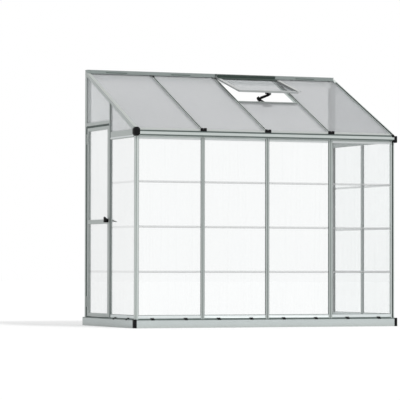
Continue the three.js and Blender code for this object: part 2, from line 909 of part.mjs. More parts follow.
function doorStilePiece([from, to], grooveAt) {
  const body = block([0, doorThickness], [from, to], [0, doorHeight]);
  const groove = block(doorGroove, grooveAt, [-overrun, doorHeight + overrun]);
  return cut(body, groove);
}

function doorHingeStile() {
  const stile = doorStilePiece([-doorStile, 0], [-doorStile - overrun, -doorStile + grooveDepth]);
  const leaves = hingeLevels.map((level) => movingLeaf(level - doorFoot));
  return join(stile, ...leaves);
}

// The moving leaf with its middle knuckle, fused to the stile.
function movingLeaf(level) {
  const x = -hingeOut;
  const y = hingeAxisBack;
  const middle = [level - knuckleHalf + knuckleGap, level + knuckleHalf - knuckleGap];
  const plate = block(
    [-leafThickness, overrun],
    [y - leafReach, y - leafStart],
    [level - hingeHeight / 2, level + hingeHeight / 2],
  );
  const tab = block([-leafThickness, 0], [y - leafStart - overrun, y], middle);
  const knuckle = alongZ(disc(knuckleRadius, x, y), ...middle);
  const bore = alongZ(disc(hingeBore, x, y), middle[0] - overrun, middle[1] + overrun);
  return cut(join(plate, tab, knuckle), bore);
}

// The fixed leaf on the rear post, with the two outer knuckles and the pin. Its origin is the hinge axis.
function fixedLeaf(level) {
  const face = hingeOut - leafThickness;
  const low = [level - hingeHeight / 2, level - knuckleHalf - knuckleGap];
  const high = [level + knuckleHalf + knuckleGap, level + hingeHeight / 2];
  const plate = block([face, hingeOut - fit], [leafStart, leafReach], [low[0], high[1]]);
  const ends = [low, high].flatMap((span) => [
    alongZ(disc(knuckleRadius, 0, 0), ...span),
    block([face, hingeOut - fit], [0, leafStart + overrun], span),
  ]);
  const pin = alongZ(disc(hingePinRadius, 0, 0), low[0] + overrun, high[1] - overrun);
  return join(plate, ...ends, pin);
}

function doorLockStile() {
  const inner = -doorWidth + doorStile;
  const stile = doorStilePiece([-doorWidth, inner], [inner - grooveDepth, inner + overrun]);
  const hole = alongX(
    disc(spindleHole, -doorWidth + spindleInset, spindleLevel - doorFoot),
    -overrun,
    doorThickness + overrun,
  );
  return cut(stile, hole);
}

function doorRail(level, height, grooveBelow, grooveAbove) {
  const span = [-doorWidth + doorStile + fit, -doorStile - fit];
  const wide = [span[0] - overrun, span[1] + overrun];
  const body = block([0, doorThickness], span, [level, level + height]);
  const grooves = [];
  if (grooveBelow) grooves.push(block(doorGroove, wide, [level - overrun, level + grooveDepth]));
  if (grooveAbove) {
    const top = level + height;
    grooves.push(block(doorGroove, wide, [top - grooveDepth, top + overrun]));
  }
  return cut(body, ...grooves);
}

function doorSheet(bottom, top, levels) {
  const width = doorWidth - 2 * doorStile + 2 * sheetEdge;
  const sheet = ribbedSheet(width, bottom - sheetEdge, top + sheetEdge, levels, sheetEdge + ribInset);
  return sheet.rotateZ(-Math.PI / 2).translate(doorGroove[0] + fit, -doorStile + sheetEdge, 0);
}

// Outer handle: a rose, a wedge-shaped grip and the spindle. Its origin is the spindle at the door's face.
function handleOuter() {
  const grip = [
    [-roseThickness + overrun, -gripRoot],
    [-roseThickness * 2, -roseRadius],
    [-handleReach + roseThickness, -wingOuter],
    [-handleReach, -wingOuter + roseThickness],
    [-handleReach, wingOuter],
    [-handleReach + roseThickness, wingOuter + roseThickness],
    [-handleReach + 2 * roseThickness, wingOuter + roseThickness],
    [-roseRadius + roseThickness, spindleRadius],
    [-roseThickness + overrun, gripRoot],
  ];
  return join(
    alongY(grip, -wedgeHalf, wedgeHalf),
    alongX(disc(roseRadius, 0, 0), -roseThickness - fit, -fit),
    alongX(disc(spindleRadius, 0, 0), -roseThickness, doorThickness + fit),
  );
}

// Inner handle: a rose, a pointed lever and the latch cam that turns behind the door post.
function handleInner() {
  const face = doorThickness + 2 * fit;
  const tip = doorThickness + leverReach;
  const camFront = postDepth + camClear;
  const lever = [
    [face + overrun, -leverRoot],
    [face + roseRadius, -leverDip],
    [tip - roseThickness, -roseRadius],
    [tip, -roseRadius + roseThickness],
    [face + roseRadius, roseThickness],
    [face + overrun, leverRoot],
  ];
  return join(
    alongX(disc(roseRadius, 0, 0), face, face + roseThickness),
    alongY(lever, -leverHalf, leverHalf),
    alongX(disc(camHalf, 0, 0), face + overrun, camFront + camThickness),
    block([camFront, camFront + camThickness], [-camHalf, camHalf], [0, camReach]),
  );
}

// Assembly

const wallSpans = {
  front: [cornerPostRear - sheetEdge, sidePostFront + sheetEdge],
  rear: [sidePostRear - sheetEdge, rearPostFront + sheetEdge],
};
const sillSpans = {
  front: [cornerPostRear + fit, sidePostFront - fit],
  rear: [sidePostRear + fit, rearPostFront - fit],
};
const eaveRailFront = endCapDepth + fit;
const gableBottom = eaveRailTop - sheetEdge;

function leftSide() {
  const side = new THREE.Group();
  const lintelTop = lintelBottom + lintelHeight;
  side.add(
    part("base_rail_left", baseRailSide([sillSpans.front]), finish.steel),
    part("base_corner_front_left", baseCorner(), finish.blackPlastic),
    part("corner_post_left", cornerPost(), finish.aluminium),
    part("door_post", doorPost(), finish.aluminium),
    part("rear_post_left", rearPost(), finish.aluminium),
    part("gutter_end_cap_left", gutterEndCap(), finish.blackPlastic),
    part(
      "eave_rail_left",
      sideRail(eaveRailBottom, eaveRailHeight, [eaveRailFront, sidePostFront - fit], true),
      finish.aluminium,
    ),
    part("door_lintel", sideRail(lintelBottom, lintelHeight, sillSpans.rear, false), finish.aluminium),
    part("side_sheet_left", sideSheet(wallSpans.front), finish.clearSheet),
    part(
      "gable_sheet_left_front",
      gableSheet(gableBottom, eaveRailFront, wallSpans.front[1]),
      finish.twinWall,
    ),
    part(
      "gable_sheet_left_rear",
      gableSheet(lintelTop - sheetEdge, wallSpans.rear[0], wallSpans.rear[1]),
      finish.twinWall,
    ),
  );
  const hinge = new THREE.Group();
  hinge.position.set(frameInset - hingeOut, doorRear + hingeAxisBack, 0);
  hinge.add(
    part("hinge_leaf_lower", fixedLeaf(hingeLevels[0]), finish.aluminium),
    part("hinge_leaf_upper", fixedLeaf(hingeLevels[1]), finish.aluminium),
  );
  side.add(hinge);
  return side;
}

// The right side is the left one mirrored, without the door and with one gable sheet.
function rightSide() {
  const side = new THREE.Group();
  side.position.x = baseWidth;
  side.scale.x = -1;
  side.add(
    part("base_rail_right", baseRailSide([sillSpans.front, sillSpans.rear]), finish.steel),
    part("base_corner_front_right", baseCorner(), finish.blackPlastic),
    part("corner_post_right", cornerPost(), finish.aluminium),
    part("side_post_right", sidePost(eaveRailBottom - fit), finish.aluminium),
    part("rear_post_right", rearPost(), finish.aluminium),
    part("gutter_end_cap_right", gutterEndCap(), finish.blackPlastic),
    part(
      "eave_rail_right",
      sideRail(eaveRailBottom, eaveRailHeight, [eaveRailFront, rearPostFront - fit], true),
      finish.aluminium,
    ),
    part("side_sheet_right_front", sideSheet(wallSpans.front), finish.clearSheet),
    part("side_sheet_right_rear", sideSheet(wallSpans.rear), finish.clearSheet),
    part("gable_sheet_right", gableSheet(gableBottom, eaveRailFront, wallSpans.rear[1]), finish.twinWall),
  );
  return side;
}

function frontWall() {
  const wall = new THREE.Group();
  wall.add(
    part("base_rail_front", baseRailFront(), finish.steel),
    part("base_rail_rear", baseRailRear(), finish.steel),
    part("gutter", gutter(), finish.aluminium),
    part("ridge_beam", ridgeBeam(), finish.aluminium),
  );
  for (let bay = 0; bay < bayCount; bay++) {
    wall.add(part(`front_sheet_${bay + 1}`, frontSheet(bay), finish.clearSheet));
  }
  for (let bar = 1; bar < bayCount; bar++) {
    const post = part(`front_post_${bar}`, frontPost(), finish.aluminium);
    post.position.set(postX[bar], frameInset, 0);
    const cap = part(`bar_end_cap_${bar}`, barEndCap(), finish.blackPlastic);
    cap.position.x = postX[bar];
    wall.add(post, cap);
  }
  return wall;
}

function roof() {
  const slope = new THREE.Group();
  slope.position.z = roofFoot;
  slope.rotation.x = roofPitch;
  const rakeRight = part("gable_rake_right", gableRake(), finish.aluminium);
  rakeRight.position.x = baseWidth;
  rakeRight.scale.x = -1;
  slope.add(part("gable_rake_left", gableRake(), finish.aluminium), rakeRight);
  for (let bar = 1; bar < bayCount; bar++) {
    const mesh = part(`roof_bar_${bar}`, roofBar(), finish.aluminium);
    mesh.position.x = postX[bar];
    slope.add(mesh);
  }
  const atBar = barCore / 2 + looseFit;
  const atRake = frameInset + postWidth - sheetEdge;
  for (let bay = 1; bay <= bayCount; bay++) {
    const left = bay === 1 ? atRake : postX[bay - 1] + atBar;
    const right = bay === bayCount ? baseWidth - atRake : postX[bay] - atBar;
    const rear = bay === leftBayCount + 1 ? crossRailFront + sheetEdge : sheetRear;
    slope.add(part(`roof_sheet_${bay}`, roofSheetBetween(left, right, rear), finish.twinWall));
  }
  slope.add(part("vent_cross_rail", ventCrossRail(), finish.aluminium), vent(), stay());
  return slope;
}

function vent() {
  const sash = new THREE.Group();
  sash.position.set(0, hingeSlope, hingeLift);
  sash.rotation.x = -THREE.MathUtils.degToRad(ventRestAngle);
  sash.add(
    part("vent_sash", ventSash(), finish.aluminium),
    part("vent_sheet", ventSheet(), finish.twinWall),
  );
  return sash;
}

function stay() {
  const pivot = new THREE.Group();
  const lean = stayRestAngle;
  pivot.position.set(stayX, 0, -stayDrop);
  const lower = part("stay_lower_link", stayLowerLink(), finish.blackPlastic);
  lower.rotation.y = lean;
  const upper = part("stay_upper_link", stayUpperLink(), finish.blackPlastic);
  upper.position.set(-linkLength * Math.cos(lean), 0, linkLength * Math.sin(lean));
  upper.rotation.y = -lean;
  pivot.add(lower, upper);
  return pivot;
}

function door() {
  const leaf = new THREE.Group();
  leaf.position.set(frameInset, doorRear, doorFoot);
  const topRailFoot = doorHeight - doorTopRail;
  const midRailTop = doorMidFoot + doorMidRail;
  leaf.add(
    part("door_hinge_stile", doorHingeStile(), finish.aluminium),
    part("door_lock_stile", doorLockStile(), finish.aluminium),
    part("door_top_rail", doorRail(topRailFoot, doorTopRail, true, false), finish.aluminium),
    part("door_mid_rail", doorRail(doorMidFoot, doorMidRail, true, true), finish.aluminium),
    part("door_bottom_rail", doorRail(0, doorBottomRail, false, true), finish.aluminium),
    part("door_sheet_upper", doorSheet(midRailTop, topRailFoot, []), finish.clearSheet),
    part(
      "door_sheet_lower",
      doorSheet(doorBottomRail, doorMidFoot, [ribLevels[0] - doorFoot]),
      finish.clearSheet,
    ),
  );
  const handle = new THREE.Group();
  handle.position.set(0, -doorWidth + spindleInset, spindleLevel - doorFoot);
  handle.add(
    part("handle_outer", handleOuter(), finish.blackPlastic),
    part("handle_inner", handleInner(), finish.blackPlastic),
  );
  leaf.add(handle);
  return leaf;
}

// The origin is the middle of the whole footprint, on the ground. The handle stands out on the left.
const leftmost = frameInset - handleReach;
const greenhouse = new THREE.Group();
greenhouse.position.set(-(leftmost + baseWidth) / 2, -baseDepth / 2, 0);
greenhouse.add(frontWall(), leftSide(), rightSide(), roof(), door());

export default greenhouse;
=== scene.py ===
import json
import math

import bmesh
import bpy
from bpy.props import FloatProperty, FloatVectorProperty, PointerProperty
from bpy.types import Operator, Panel, PropertyGroup
from mathutils import Matrix, Vector


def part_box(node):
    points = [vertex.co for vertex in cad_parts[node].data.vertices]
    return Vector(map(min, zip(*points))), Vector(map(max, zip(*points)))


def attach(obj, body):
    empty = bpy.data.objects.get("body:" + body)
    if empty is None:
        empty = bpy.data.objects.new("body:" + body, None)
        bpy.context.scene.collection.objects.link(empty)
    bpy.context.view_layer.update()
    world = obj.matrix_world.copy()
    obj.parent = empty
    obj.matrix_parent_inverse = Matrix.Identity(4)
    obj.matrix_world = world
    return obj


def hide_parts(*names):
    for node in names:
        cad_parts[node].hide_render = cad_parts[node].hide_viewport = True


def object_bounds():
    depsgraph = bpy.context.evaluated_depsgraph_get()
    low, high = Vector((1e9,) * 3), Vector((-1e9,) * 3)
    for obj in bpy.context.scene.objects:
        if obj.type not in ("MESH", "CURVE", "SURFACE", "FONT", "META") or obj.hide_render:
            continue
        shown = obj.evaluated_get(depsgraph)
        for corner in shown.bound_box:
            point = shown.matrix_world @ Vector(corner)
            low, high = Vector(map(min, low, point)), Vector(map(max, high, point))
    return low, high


bl_info = {
    "name": "Lean-to Greenhouse",
    "version": (1, 0, 0),
    "blender": (4, 5, 0),
    "location": "View3D > Sidebar > Greenhouse",
    "description": "Dresses a lean-to greenhouse frame with finishes, seals, trims and fittings",
    "category": "Add Mesh",
}

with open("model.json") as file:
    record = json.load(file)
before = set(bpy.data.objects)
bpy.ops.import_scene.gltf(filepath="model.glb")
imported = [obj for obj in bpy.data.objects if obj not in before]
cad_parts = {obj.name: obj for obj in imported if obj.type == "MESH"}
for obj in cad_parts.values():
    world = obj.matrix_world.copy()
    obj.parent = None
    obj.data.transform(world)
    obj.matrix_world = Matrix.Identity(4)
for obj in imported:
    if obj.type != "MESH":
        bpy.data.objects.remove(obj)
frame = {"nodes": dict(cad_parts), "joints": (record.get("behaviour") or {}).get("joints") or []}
cad_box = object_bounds()

NODES = frame["nodes"]
JOINTS = {joint["name"]: joint for joint in frame["joints"]}
FRONT_POSTS = [f"front_post_{number}" for number in range(1, 4)]
ROOF_BARS = [f"roof_bar_{number}" for number in range(1, 4)]
FRONT_SHEETS = [f"front_sheet_{bay}" for bay in range(1, 5)]
ROOF_SHEETS = [f"roof_sheet_{bay}" for bay in range(1, 5)]
SIDE_SHEETS = ["side_sheet_left", "side_sheet_right_front", "side_sheet_right_rear"]
GABLE_SHEETS = ["gable_sheet_left_front", "gable_sheet_left_rear", "gable_sheet_right"]
HINGE_LEAVES = ["hinge_leaf_lower", "hinge_leaf_upper"]
DOOR_PROFILES = ["door_top_rail", "door_mid_rail", "door_bottom_rail"]
# Lit and shaded copies of one anodised finish: the painted light profiles are lighter copies that paint light
# onto the corner posts, the gutter, the roof bars and the right gable rail; the painted shade profiles are
# darker copies that paint shade.
FINISHES = {
    "Profile along z": [
        *FRONT_POSTS,
        "door_post",
        "rear_post_left",
        "rear_post_right",
        "door_hinge_stile",
        "door_lock_stile",
        *HINGE_LEAVES,
    ],
    "Profile along x": ["gutter"],
    "Profile along y": ["eave_rail_left", "door_lintel", *DOOR_PROFILES],
    "Profile along slope": ["gable_rake_left"],
    "Ridge profile along x": ["ridge_beam"],
    "Bar profile along slope": [*ROOF_BARS, "gable_rake_right"],
    "Pale profile along z": ["corner_post_left", "corner_post_right"],
    "Shaded profile along x": ["vent_cross_rail"],
    "Shaded profile along z": ["side_post_right"],
    "Shaded profile along y": ["eave_rail_right"],
    "Vent profile along x": ["vent_sash"],
    "Base steel": ["base_rail_front", "base_rail_rear", "base_rail_left", "base_rail_right"],
}
BLACK_PIECES = {
    "base_corner_front_left": "frame",
    "base_corner_front_right": "frame",
    "bar_end_cap_1": "frame",
    "bar_end_cap_2": "frame",
    "bar_end_cap_3": "frame",
    "handle_inner": "handle",
    "stay_lower_link": "stay_lower",
    "stay_upper_link": "stay_upper",
}

X, Y, Z = Vector((1, 0, 0)), Vector((0, 1, 0)), Vector((0, 0, 1))

# Gaps between pieces that lie against each other, and how near a corner is to a face that holds it
HAIR = 0.0002
GAP = 0.0003
NEAR = 0.0005

# Sections of the frame's profiles that its boxes don't give
ROOF_THICKNESS = 0.004
RIB = 0.003  # how far the ribs of a wall sheet stand out
SILL = RIB - HAIR
GUTTER_LIP = 0.012  # the lower edge of its face, from its lowest part
LEAF_FACE = 0.008  # a hinge leaf's face, from the outer side of its knuckle
LINK_HALF = 0.009  # half the width of a stay link
RIDGE_SEAT = 0.0569  # heights over the ridge's foot
RIDGE_FLOOR = 0.0602
RIDGE_LIP = 0.016  # depths from the ridge's front
RIDGE_RIM = 0.0025
SASH_UNDERSIDE = -0.0197

SLOPE = Vector(JOINTS["stay_lower"]["axis"]).normalized()
PITCH = math.atan2(SLOPE.z, SLOPE.y)


def roof_placement():
    """The roof's own frame: x along the wall, y up the slope, z square to the sheets."""
    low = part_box("roof_sheet_1")[0]
    front = cad_box[0].y
    top = GAP + ROOF_THICKNESS
    along = (low.y - front + top * math.sin(PITCH)) / math.cos(PITCH)
    foot = low.z - along * math.sin(PITCH) - GAP * math.cos(PITCH)
    return Matrix.Translation((0, front, foot)) @ Matrix.Rotation(PITCH, 4, "X")


def vent_placement():
    """The vent's own frame: x along the hinge, y up the sash, z square to it."""
    hinge = JOINTS["vent_hinge"]
    opened = math.radians(-hinge["range_deg"][0])
    return Matrix.Translation((0, *hinge["pos_m"][1:])) @ Matrix.Rotation(PITCH - opened, 4, "X")


ROOF = roof_placement()
VENT = vent_placement()


def in_frame(name, placement):
    """Lowest and highest corner of a node, measured in another frame."""
    inverse = placement.inverted()
    points = [inverse @ vertex.co for vertex in NODES[name].data.vertices]
    low = Vector([min(point[axis] for point in points) for axis in range(3)])
    high = Vector([max(point[axis] for point in points) for axis in range(3)])
    return low, high


def centre_of(node, axis):
    low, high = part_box(node)
    return (low[axis] + high[axis]) / 2


def slope_reach(y, level):
    """Distance up the slope at which a level above the sheets' bed stands at depth y."""
    return (y - cad_box[0].y + level * math.sin(PITCH)) / math.cos(PITCH)


def ledge():
    """Height of the base's upper edge, where the sills begin."""
    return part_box("base_corner_front_left")[1].z


def sill_top():
    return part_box("base_rail_front")[1].z


def colour_setting(name, description, default):
    return FloatVectorProperty(name=name, description=description, default=default, subtype="COLOR")


def length_setting(name, description, default):
    return FloatProperty(name=name, description=description, default=default, unit="LENGTH")


def angle_setting(name, description, degrees):
    return FloatProperty(name=name, description=description, default=math.radians(degrees), subtype="ANGLE")


class GreenhouseColours(PropertyGroup):
    """Colours of the finishes."""

    profile: colour_setting("Profile", "Anodised profiles", (0.455, 0.495, 0.48))
    # This colour is also the painted shade profile: a darker copy of the profile that paints shade onto parts
    # that stand in shade.
    ridge: colour_setting("Ridge", "Ridge beam", (0.30, 0.34, 0.33))
    base: colour_setting("Base", "Painted base rails", (0.56, 0.61, 0.605))
    sill: colour_setting("Sill", "Upstands of the base under the sheets", (0.76, 0.81, 0.81))
    sash: colour_setting("Vent", "Profiles of the opening vent", (0.50, 0.52, 0.52))
    clear: colour_setting("Clear sheet", "Tint of the wall sheets", (0.93, 0.95, 0.95))
    twin_wall: colour_setting("Roof sheet", "Twin-wall sheets of the roof", (0.53, 0.535, 0.545))
    gable: colour_setting("Gable sheet", "Twin-wall sheets of the gables", (0.74, 0.75, 0.755))
    black: colour_setting("Black plastic", "End pieces, handle and stay", (0.004, 0.004, 0.0045))
    # This colour is on real seals and inserts, and is also painted shade: the strips on the gutter, the posts
    # and the base joints, and the beads in the corners beside the posts.
    seal: colour_setting("Seal", "Sealing strips", (0.10, 0.125, 0.118))
    # The hinge cover's flap on the sash is painted shade in this colour.
    vent_seal: colour_setting("Vent seal and painted shade", "Hinge cover of the vent", (0.055, 0.075, 0.066))
    trim: colour_setting("Edge trim", "Trims on the roof sheets and sills", (0.80, 0.84, 0.84))
    screws: colour_setting("Screws", "Screws in the hinges", (0.62, 0.62, 0.6))
    dust: colour_setting("Dust", "Dust on the profiles", (0.5, 0.49, 0.46))
    dark_dust: colour_setting("Dust on black", "Dust on the black pieces", (0.06, 0.058, 0.055))
    splash: colour_setting("Splashes", "Dirt low on the base", (0.40, 0.40, 0.37))
    floor: colour_setting("Floor", "Pale floor", (0.72, 0.72, 0.72))


class GreenhouseSizes(PropertyGroup):
    """Sizes of the small pieces."""

    seal_width: length_setting("Seal width", "Bead beside a profile", 0.0034)
    seal_height: length_setting("Seal height", "How far a bead stands on its sheet", 0.0052)
    clip_width: length_setting("Clip width", "Black clip on the base", 0.030)
    clip_height: length_setting("Clip height", "Black clip on the base", 0.012)
    clip_pitch: length_setting("Clip pitch", "Distance between the clips on the base", 0.2995)
    joint_height: length_setting("Joint height", "Groove along the base's upper edge", 0.0085)
    joint_depth: length_setting("Joint depth", "How deep the joint strip is let in", 0.0012)
    screw_radius: length_setting("Screw radius", "Radius of a screw head", 0.0036)
    screw_height: length_setting("Screw height", "Height of a screw head", 0.00132)
    trim_wall: length_setting("Trim wall", "Wall of the trims on the sheets", 0.0012)
    trim_reach: length_setting("Trim reach", "How far the eave trim lies on the roof sheet", 0.040)
    groove_shade_width: length_setting("Groove strip", "Painted shade strip in the face of a post", 0.0042)
    bar_shade_strip: length_setting("Bar strip", "Width of the strip on a roof bar", 0.0105)
    strip_height: length_setting("Strip height", "How far a strip stands on its profile", 0.001)
    insert_height: length_setting("Insert height", "Dark insert under the ridge", 0.0118)
    gutter_shade_band: length_setting("Gutter strip", "Dark strips along the gutter's face", 0.0105)
    knob_radius: length_setting("Knob radius", "Wing knob at the elbow of the stay", 0.0165)
    flute_pitch: length_setting("Flute pitch", "Walls inside a twin-wall sheet", 0.0105)
    rib_level: length_setting("Rib level", "Height of the lowest rib across a wall sheet", 0.467)
    rib_pitch: length_setting("Rib pitch", "Distance between the ribs", 0.375)
    rib_half: length_setting("Rib width", "Half the height of a rib", 0.0108)
    bevel: length_setting("Rounding", "Rounding of moulded edges", 0.0014)


class GreenhouseStage(PropertyGroup):
    """Camera and light."""

    camera_place: FloatVectorProperty(
        name="Camera",
        description="Place of the camera",
        subtype="TRANSLATION",
        default=(-9.0003, -20.5094, 0.523),
    )
    camera_yaw: angle_setting("Yaw", "Turn to the right of the wall's direction", 22.858)
    camera_pitch: angle_setting("Pitch", "Look above the horizon", 1.443)
    camera_roll: angle_setting("Roll", "Roll of the camera", 0.091)
    focal_share: FloatProperty(
        name="Focal share", description="Focal length over image width", default=2586.06 / 400
    )
    sun_way: FloatVectorProperty(
        name="Sun direction",
        description="Where the key light shines",
        subtype="DIRECTION",
        default=(-0.5, 1.22, -1.6),
    )
    sun_strength: FloatProperty(name="Sun", description="Strength of the key light", default=1.3)
    sun_softness: angle_setting("Sun softness", "Angle of the key light", 12)
    sky_strength: FloatProperty(name="Sky", description="Strength of the world light", default=0.70)
    floor_glow: FloatProperty(name="Floor glow", description="Brightening of the floor as seen", default=0.30)
    floor_radius: length_setting("Floor", "Radius of the floor", 60.0)


# Node trees


def add(tree, kind, inputs=None, **settings):
    """A shader node with its settings, its inputs linked to sockets or set to values."""
    node = tree.nodes.new(kind)
    for key, value in settings.items():
        setattr(node, key, value)
    for key, value in (inputs or {}).items():
        if isinstance(value, bpy.types.NodeSocket):
            tree.links.new(value, node.inputs[key])
        else:
            node.inputs[key].default_value = value
    return node


def new_material(name):
    material = bpy.data.materials.new(name)
    material.use_nodes = True
    material.node_tree.nodes.clear()
    return material, material.node_tree


def close(tree, shader):
    add(tree, "ShaderNodeOutputMaterial", {"Surface": shader})


def calc(tree, operation, a, b=0.0):
    return add(tree, "ShaderNodeMath", {0: a, 1: b}, operation=operation).outputs[0]


def plus(tree, a, b):
    return calc(tree, "ADD", a, b)


def times(tree, a, b):
    return calc(tree, "MULTIPLY", a, b)


def spread(tree, value, low, high, start=0.0, end=1.0):
    """A value between start and end brought to between low and high."""
    inputs = {"Value": value, "From Min": start, "From Max": end, "To Min": low, "To Max": high}
    return add(tree, "ShaderNodeMapRange", inputs).outputs[0]


def noise(tree, place, scale=1.0, detail=4.0, roughness=0.6):
    inputs = {"Vector": place, "Scale": scale, "Detail": detail, "Roughness": roughness}
    return add(tree, "ShaderNodeTexNoise", inputs).outputs["Fac"]


def stretched(tree, scale=(1.0, 1.0, 1.0), turn=(0.0, 0.0, 0.0)):
    """Object coordinates turned and scaled, to draw a pattern out along a profile."""
    place = add(tree, "ShaderNodeTexCoord").outputs["Object"]
    inputs = {"Vector": place, "Rotation": turn}
    turned = add(tree, "ShaderNodeVectorRotate", inputs, rotation_type="EULER_XYZ").outputs[0]
    return add(tree, "ShaderNodeMapping", {"Vector": turned, "Scale": scale}).outputs[0]


def distance_along(tree, axis):
    """The object coordinate along an axis, in metres."""
    place = add(tree, "ShaderNodeTexCoord").outputs["Object"]
    return add(tree, "ShaderNodeSeparateXYZ", {0: place}).outputs[axis]


def shaded(colour, factor, lift=0.0, most=1.0):
    """A colour made darker or lighter."""
    return [min(most, channel * factor + lift) for channel in colour]


def blended(tree, factor, first, second):
    mix = add(tree, "ShaderNodeMix", data_type="RGBA")
    tree.links.new(factor, mix.inputs[0])
    for socket, colour in ((mix.inputs[6], first), (mix.inputs[7], second)):
        if isinstance(colour, bpy.types.NodeSocket):
            tree.links.new(colour, socket)
        else:
            socket.default_value = (*colour, 1.0)
    return mix.outputs[2]


def tinted(tree, colour, factor, shade):
    """A colour mixed towards itself times a shade by a factor."""
    return blended(tree, factor, colour, shaded(colour, shade))


def worn_edges(tree, radius):
    """A rounded normal, and a mask that is high along sharp edges."""
    rounded = add(tree, "ShaderNodeBevel", {"Radius": radius}, samples=4).outputs[0]
    plain = add(tree, "ShaderNodeNewGeometry").outputs["Normal"]
    dot = add(tree, "ShaderNodeVectorMath", {0: rounded, 1: plain}, operation="DOT_PRODUCT").outputs["Value"]
    return rounded, spread(tree, dot, 1.0, 0.0, 0.75, 1.0)


def upward(tree):
    """High on faces that look up, where dust settles."""
    normal = add(tree, "ShaderNodeNewGeometry").outputs["Normal"]
    z = add(tree, "ShaderNodeSeparateXYZ", {0: normal}).outputs["Z"]
    return spread(tree, z, 0.0, 1.0, 0.3, 1.0)


def bumped(tree, height, strength, distance, normal=None):
    inputs = {"Strength": strength, "Distance": distance, "Height": height}
    if normal:
        inputs["Normal"] = normal
    return add(tree, "ShaderNodeBump", inputs).outputs[0]


def surface(tree, colour, rough, normal, **values):
    """The main shader; values holds further inputs, with _ for a blank in their names."""
    inputs = {"Base Color": colour, "Roughness": rough, "Normal": normal}
    inputs.update({key.replace("_", " "): value for key, value in values.items()})
    return add(tree, "ShaderNodeBsdfPrincipled", inputs).outputs[0]


def see_through(tree, colour):
    return add(tree, "ShaderNodeBsdfTransparent", {"Color": (*colour, 1.0)}).outputs[0]


def mixed(tree, factor, first, second):
    return add(tree, "ShaderNodeMixShader", {0: factor, 1: first, 2: second}).outputs[0]


def background_rays(tree):
    """One for the rays that show the background, straight, in a gloss or through a sheet."""
    path = add(tree, "ShaderNodeLightPath")
    seen = calc(tree, "MAXIMUM", path.outputs["Is Camera Ray"], path.outputs["Is Glossy Ray"])
    return calc(tree, "MAXIMUM", seen, path.outputs["Is Transmission Ray"])


# Finishes

CLEAR = (0.985, 0.99, 0.99)
PLASTIC_IOR = 1.58


def metal(name, colour, along, metallic=0.2, roughness=(0.36, 0.52), lines=0.1, clear_below=None):
    """Anodised metal with draw lines, blotches, dust and bright edges, and see-through below a level; on the
    ridge that hides its flange under the sheets, with the shade on it.
    """
    material, tree = new_material(name)
    dust = list(bpy.context.scene.greenhouse_colours.dust)
    turn = (-PITCH, 0.0, 0.0) if along == "slope" else (0.0, 0.0, 0.0)
    across, lengthways = 900.0, 5.0
    scale = [across] * 3
    scale[{"x": 0, "y": 1, "z": 2, "slope": 1}[along]] = lengthways
    streaks = noise(tree, stretched(tree, scale, turn))
    blotches = noise(tree, stretched(tree, (3.2, 3.2, 3.2)), roughness=0.55)
    smudges = noise(tree, stretched(tree, (26.0, 26.0, 26.0)), detail=5.0)
    rounded, edges = worn_edges(tree, 0.0012)
    drawn = tinted(tree, colour, spread(tree, streaks, 0.0, 1.0, 0.35, 0.7), 0.88)
    clouded = blended(tree, spread(tree, blotches, 0.0, 0.5, 0.4, 0.75), drawn, shaded(colour, 0.86))
    dusty = times(tree, upward(tree), spread(tree, smudges, 0.1, 0.55, 0.35, 0.75))
    dusted = blended(tree, dusty, clouded, dust)
    bright = blended(tree, times(tree, edges, 0.5), dusted, shaded(colour, 1.35))
    rough = spread(tree, plus(tree, streaks, times(tree, smudges, 0.6)), *roughness, 0.5, 1.1)
    rough = plus(tree, rough, times(tree, dusty, 0.3))
    normal = bumped(tree, streaks, lines, 0.0004, rounded)
    shader = surface(tree, bright, rough, normal, Metallic=metallic)
    if clear_below:
        height = distance_along(tree, "Z")
        below = spread(tree, height, 0.94, 0.0, clear_below - HAIR, clear_below + HAIR)
        shader = mixed(tree, below, shader, see_through(tree, CLEAR))
    close(tree, shader)
    return material


def painted_steel(name, colour, sill_colour, sill_foot):
    """Painted galvanised sheet: faint spangle, scuffs, splashes near the ground and paler upstands."""
    material, tree = new_material(name)
    splash = list(bpy.context.scene.greenhouse_colours.splash)
    place = stretched(tree)
    cells = add(tree, "ShaderNodeTexVoronoi", {"Vector": place, "Scale": 70.0}).outputs["Color"]
    spangle = add(tree, "ShaderNodeSeparateXYZ", {0: cells}).outputs["X"]
    clouds = noise(tree, place, 2.2, roughness=0.55)
    scuffs = noise(tree, stretched(tree, (16.0, 16.0, 60.0)), detail=6.0, roughness=0.65)
    height = add(tree, "ShaderNodeSeparateXYZ", {0: place}).outputs["Z"]
    low = spread(tree, plus(tree, height, times(tree, scuffs, 0.03)), 1.0, 0.0, 0.012, 0.05)
    rounded, edges = worn_edges(tree, 0.0015)
    base = tinted(tree, colour, spread(tree, spangle, 0.0, 0.5), 0.95)
    base = blended(tree, spread(tree, clouds, 0.0, 0.6, 0.4, 0.7), base, shaded(colour, 0.92))
    base = blended(tree, times(tree, low, 0.35), base, splash)
    base = blended(tree, spread(tree, height, 0.0, 1.0, sill_foot, sill_foot + 0.001), base, sill_colour)
    base = blended(tree, times(tree, edges, 0.4), base, shaded(colour, 1.2))
    rough = plus(tree, spread(tree, scuffs, 0.38, 0.58, 0.35, 0.7), times(tree, low, 0.15))
    normal = bumped(tree, scuffs, 0.15, 0.0006, rounded)
    close(tree, surface(tree, base, rough, normal, Metallic=0.15))
    return material


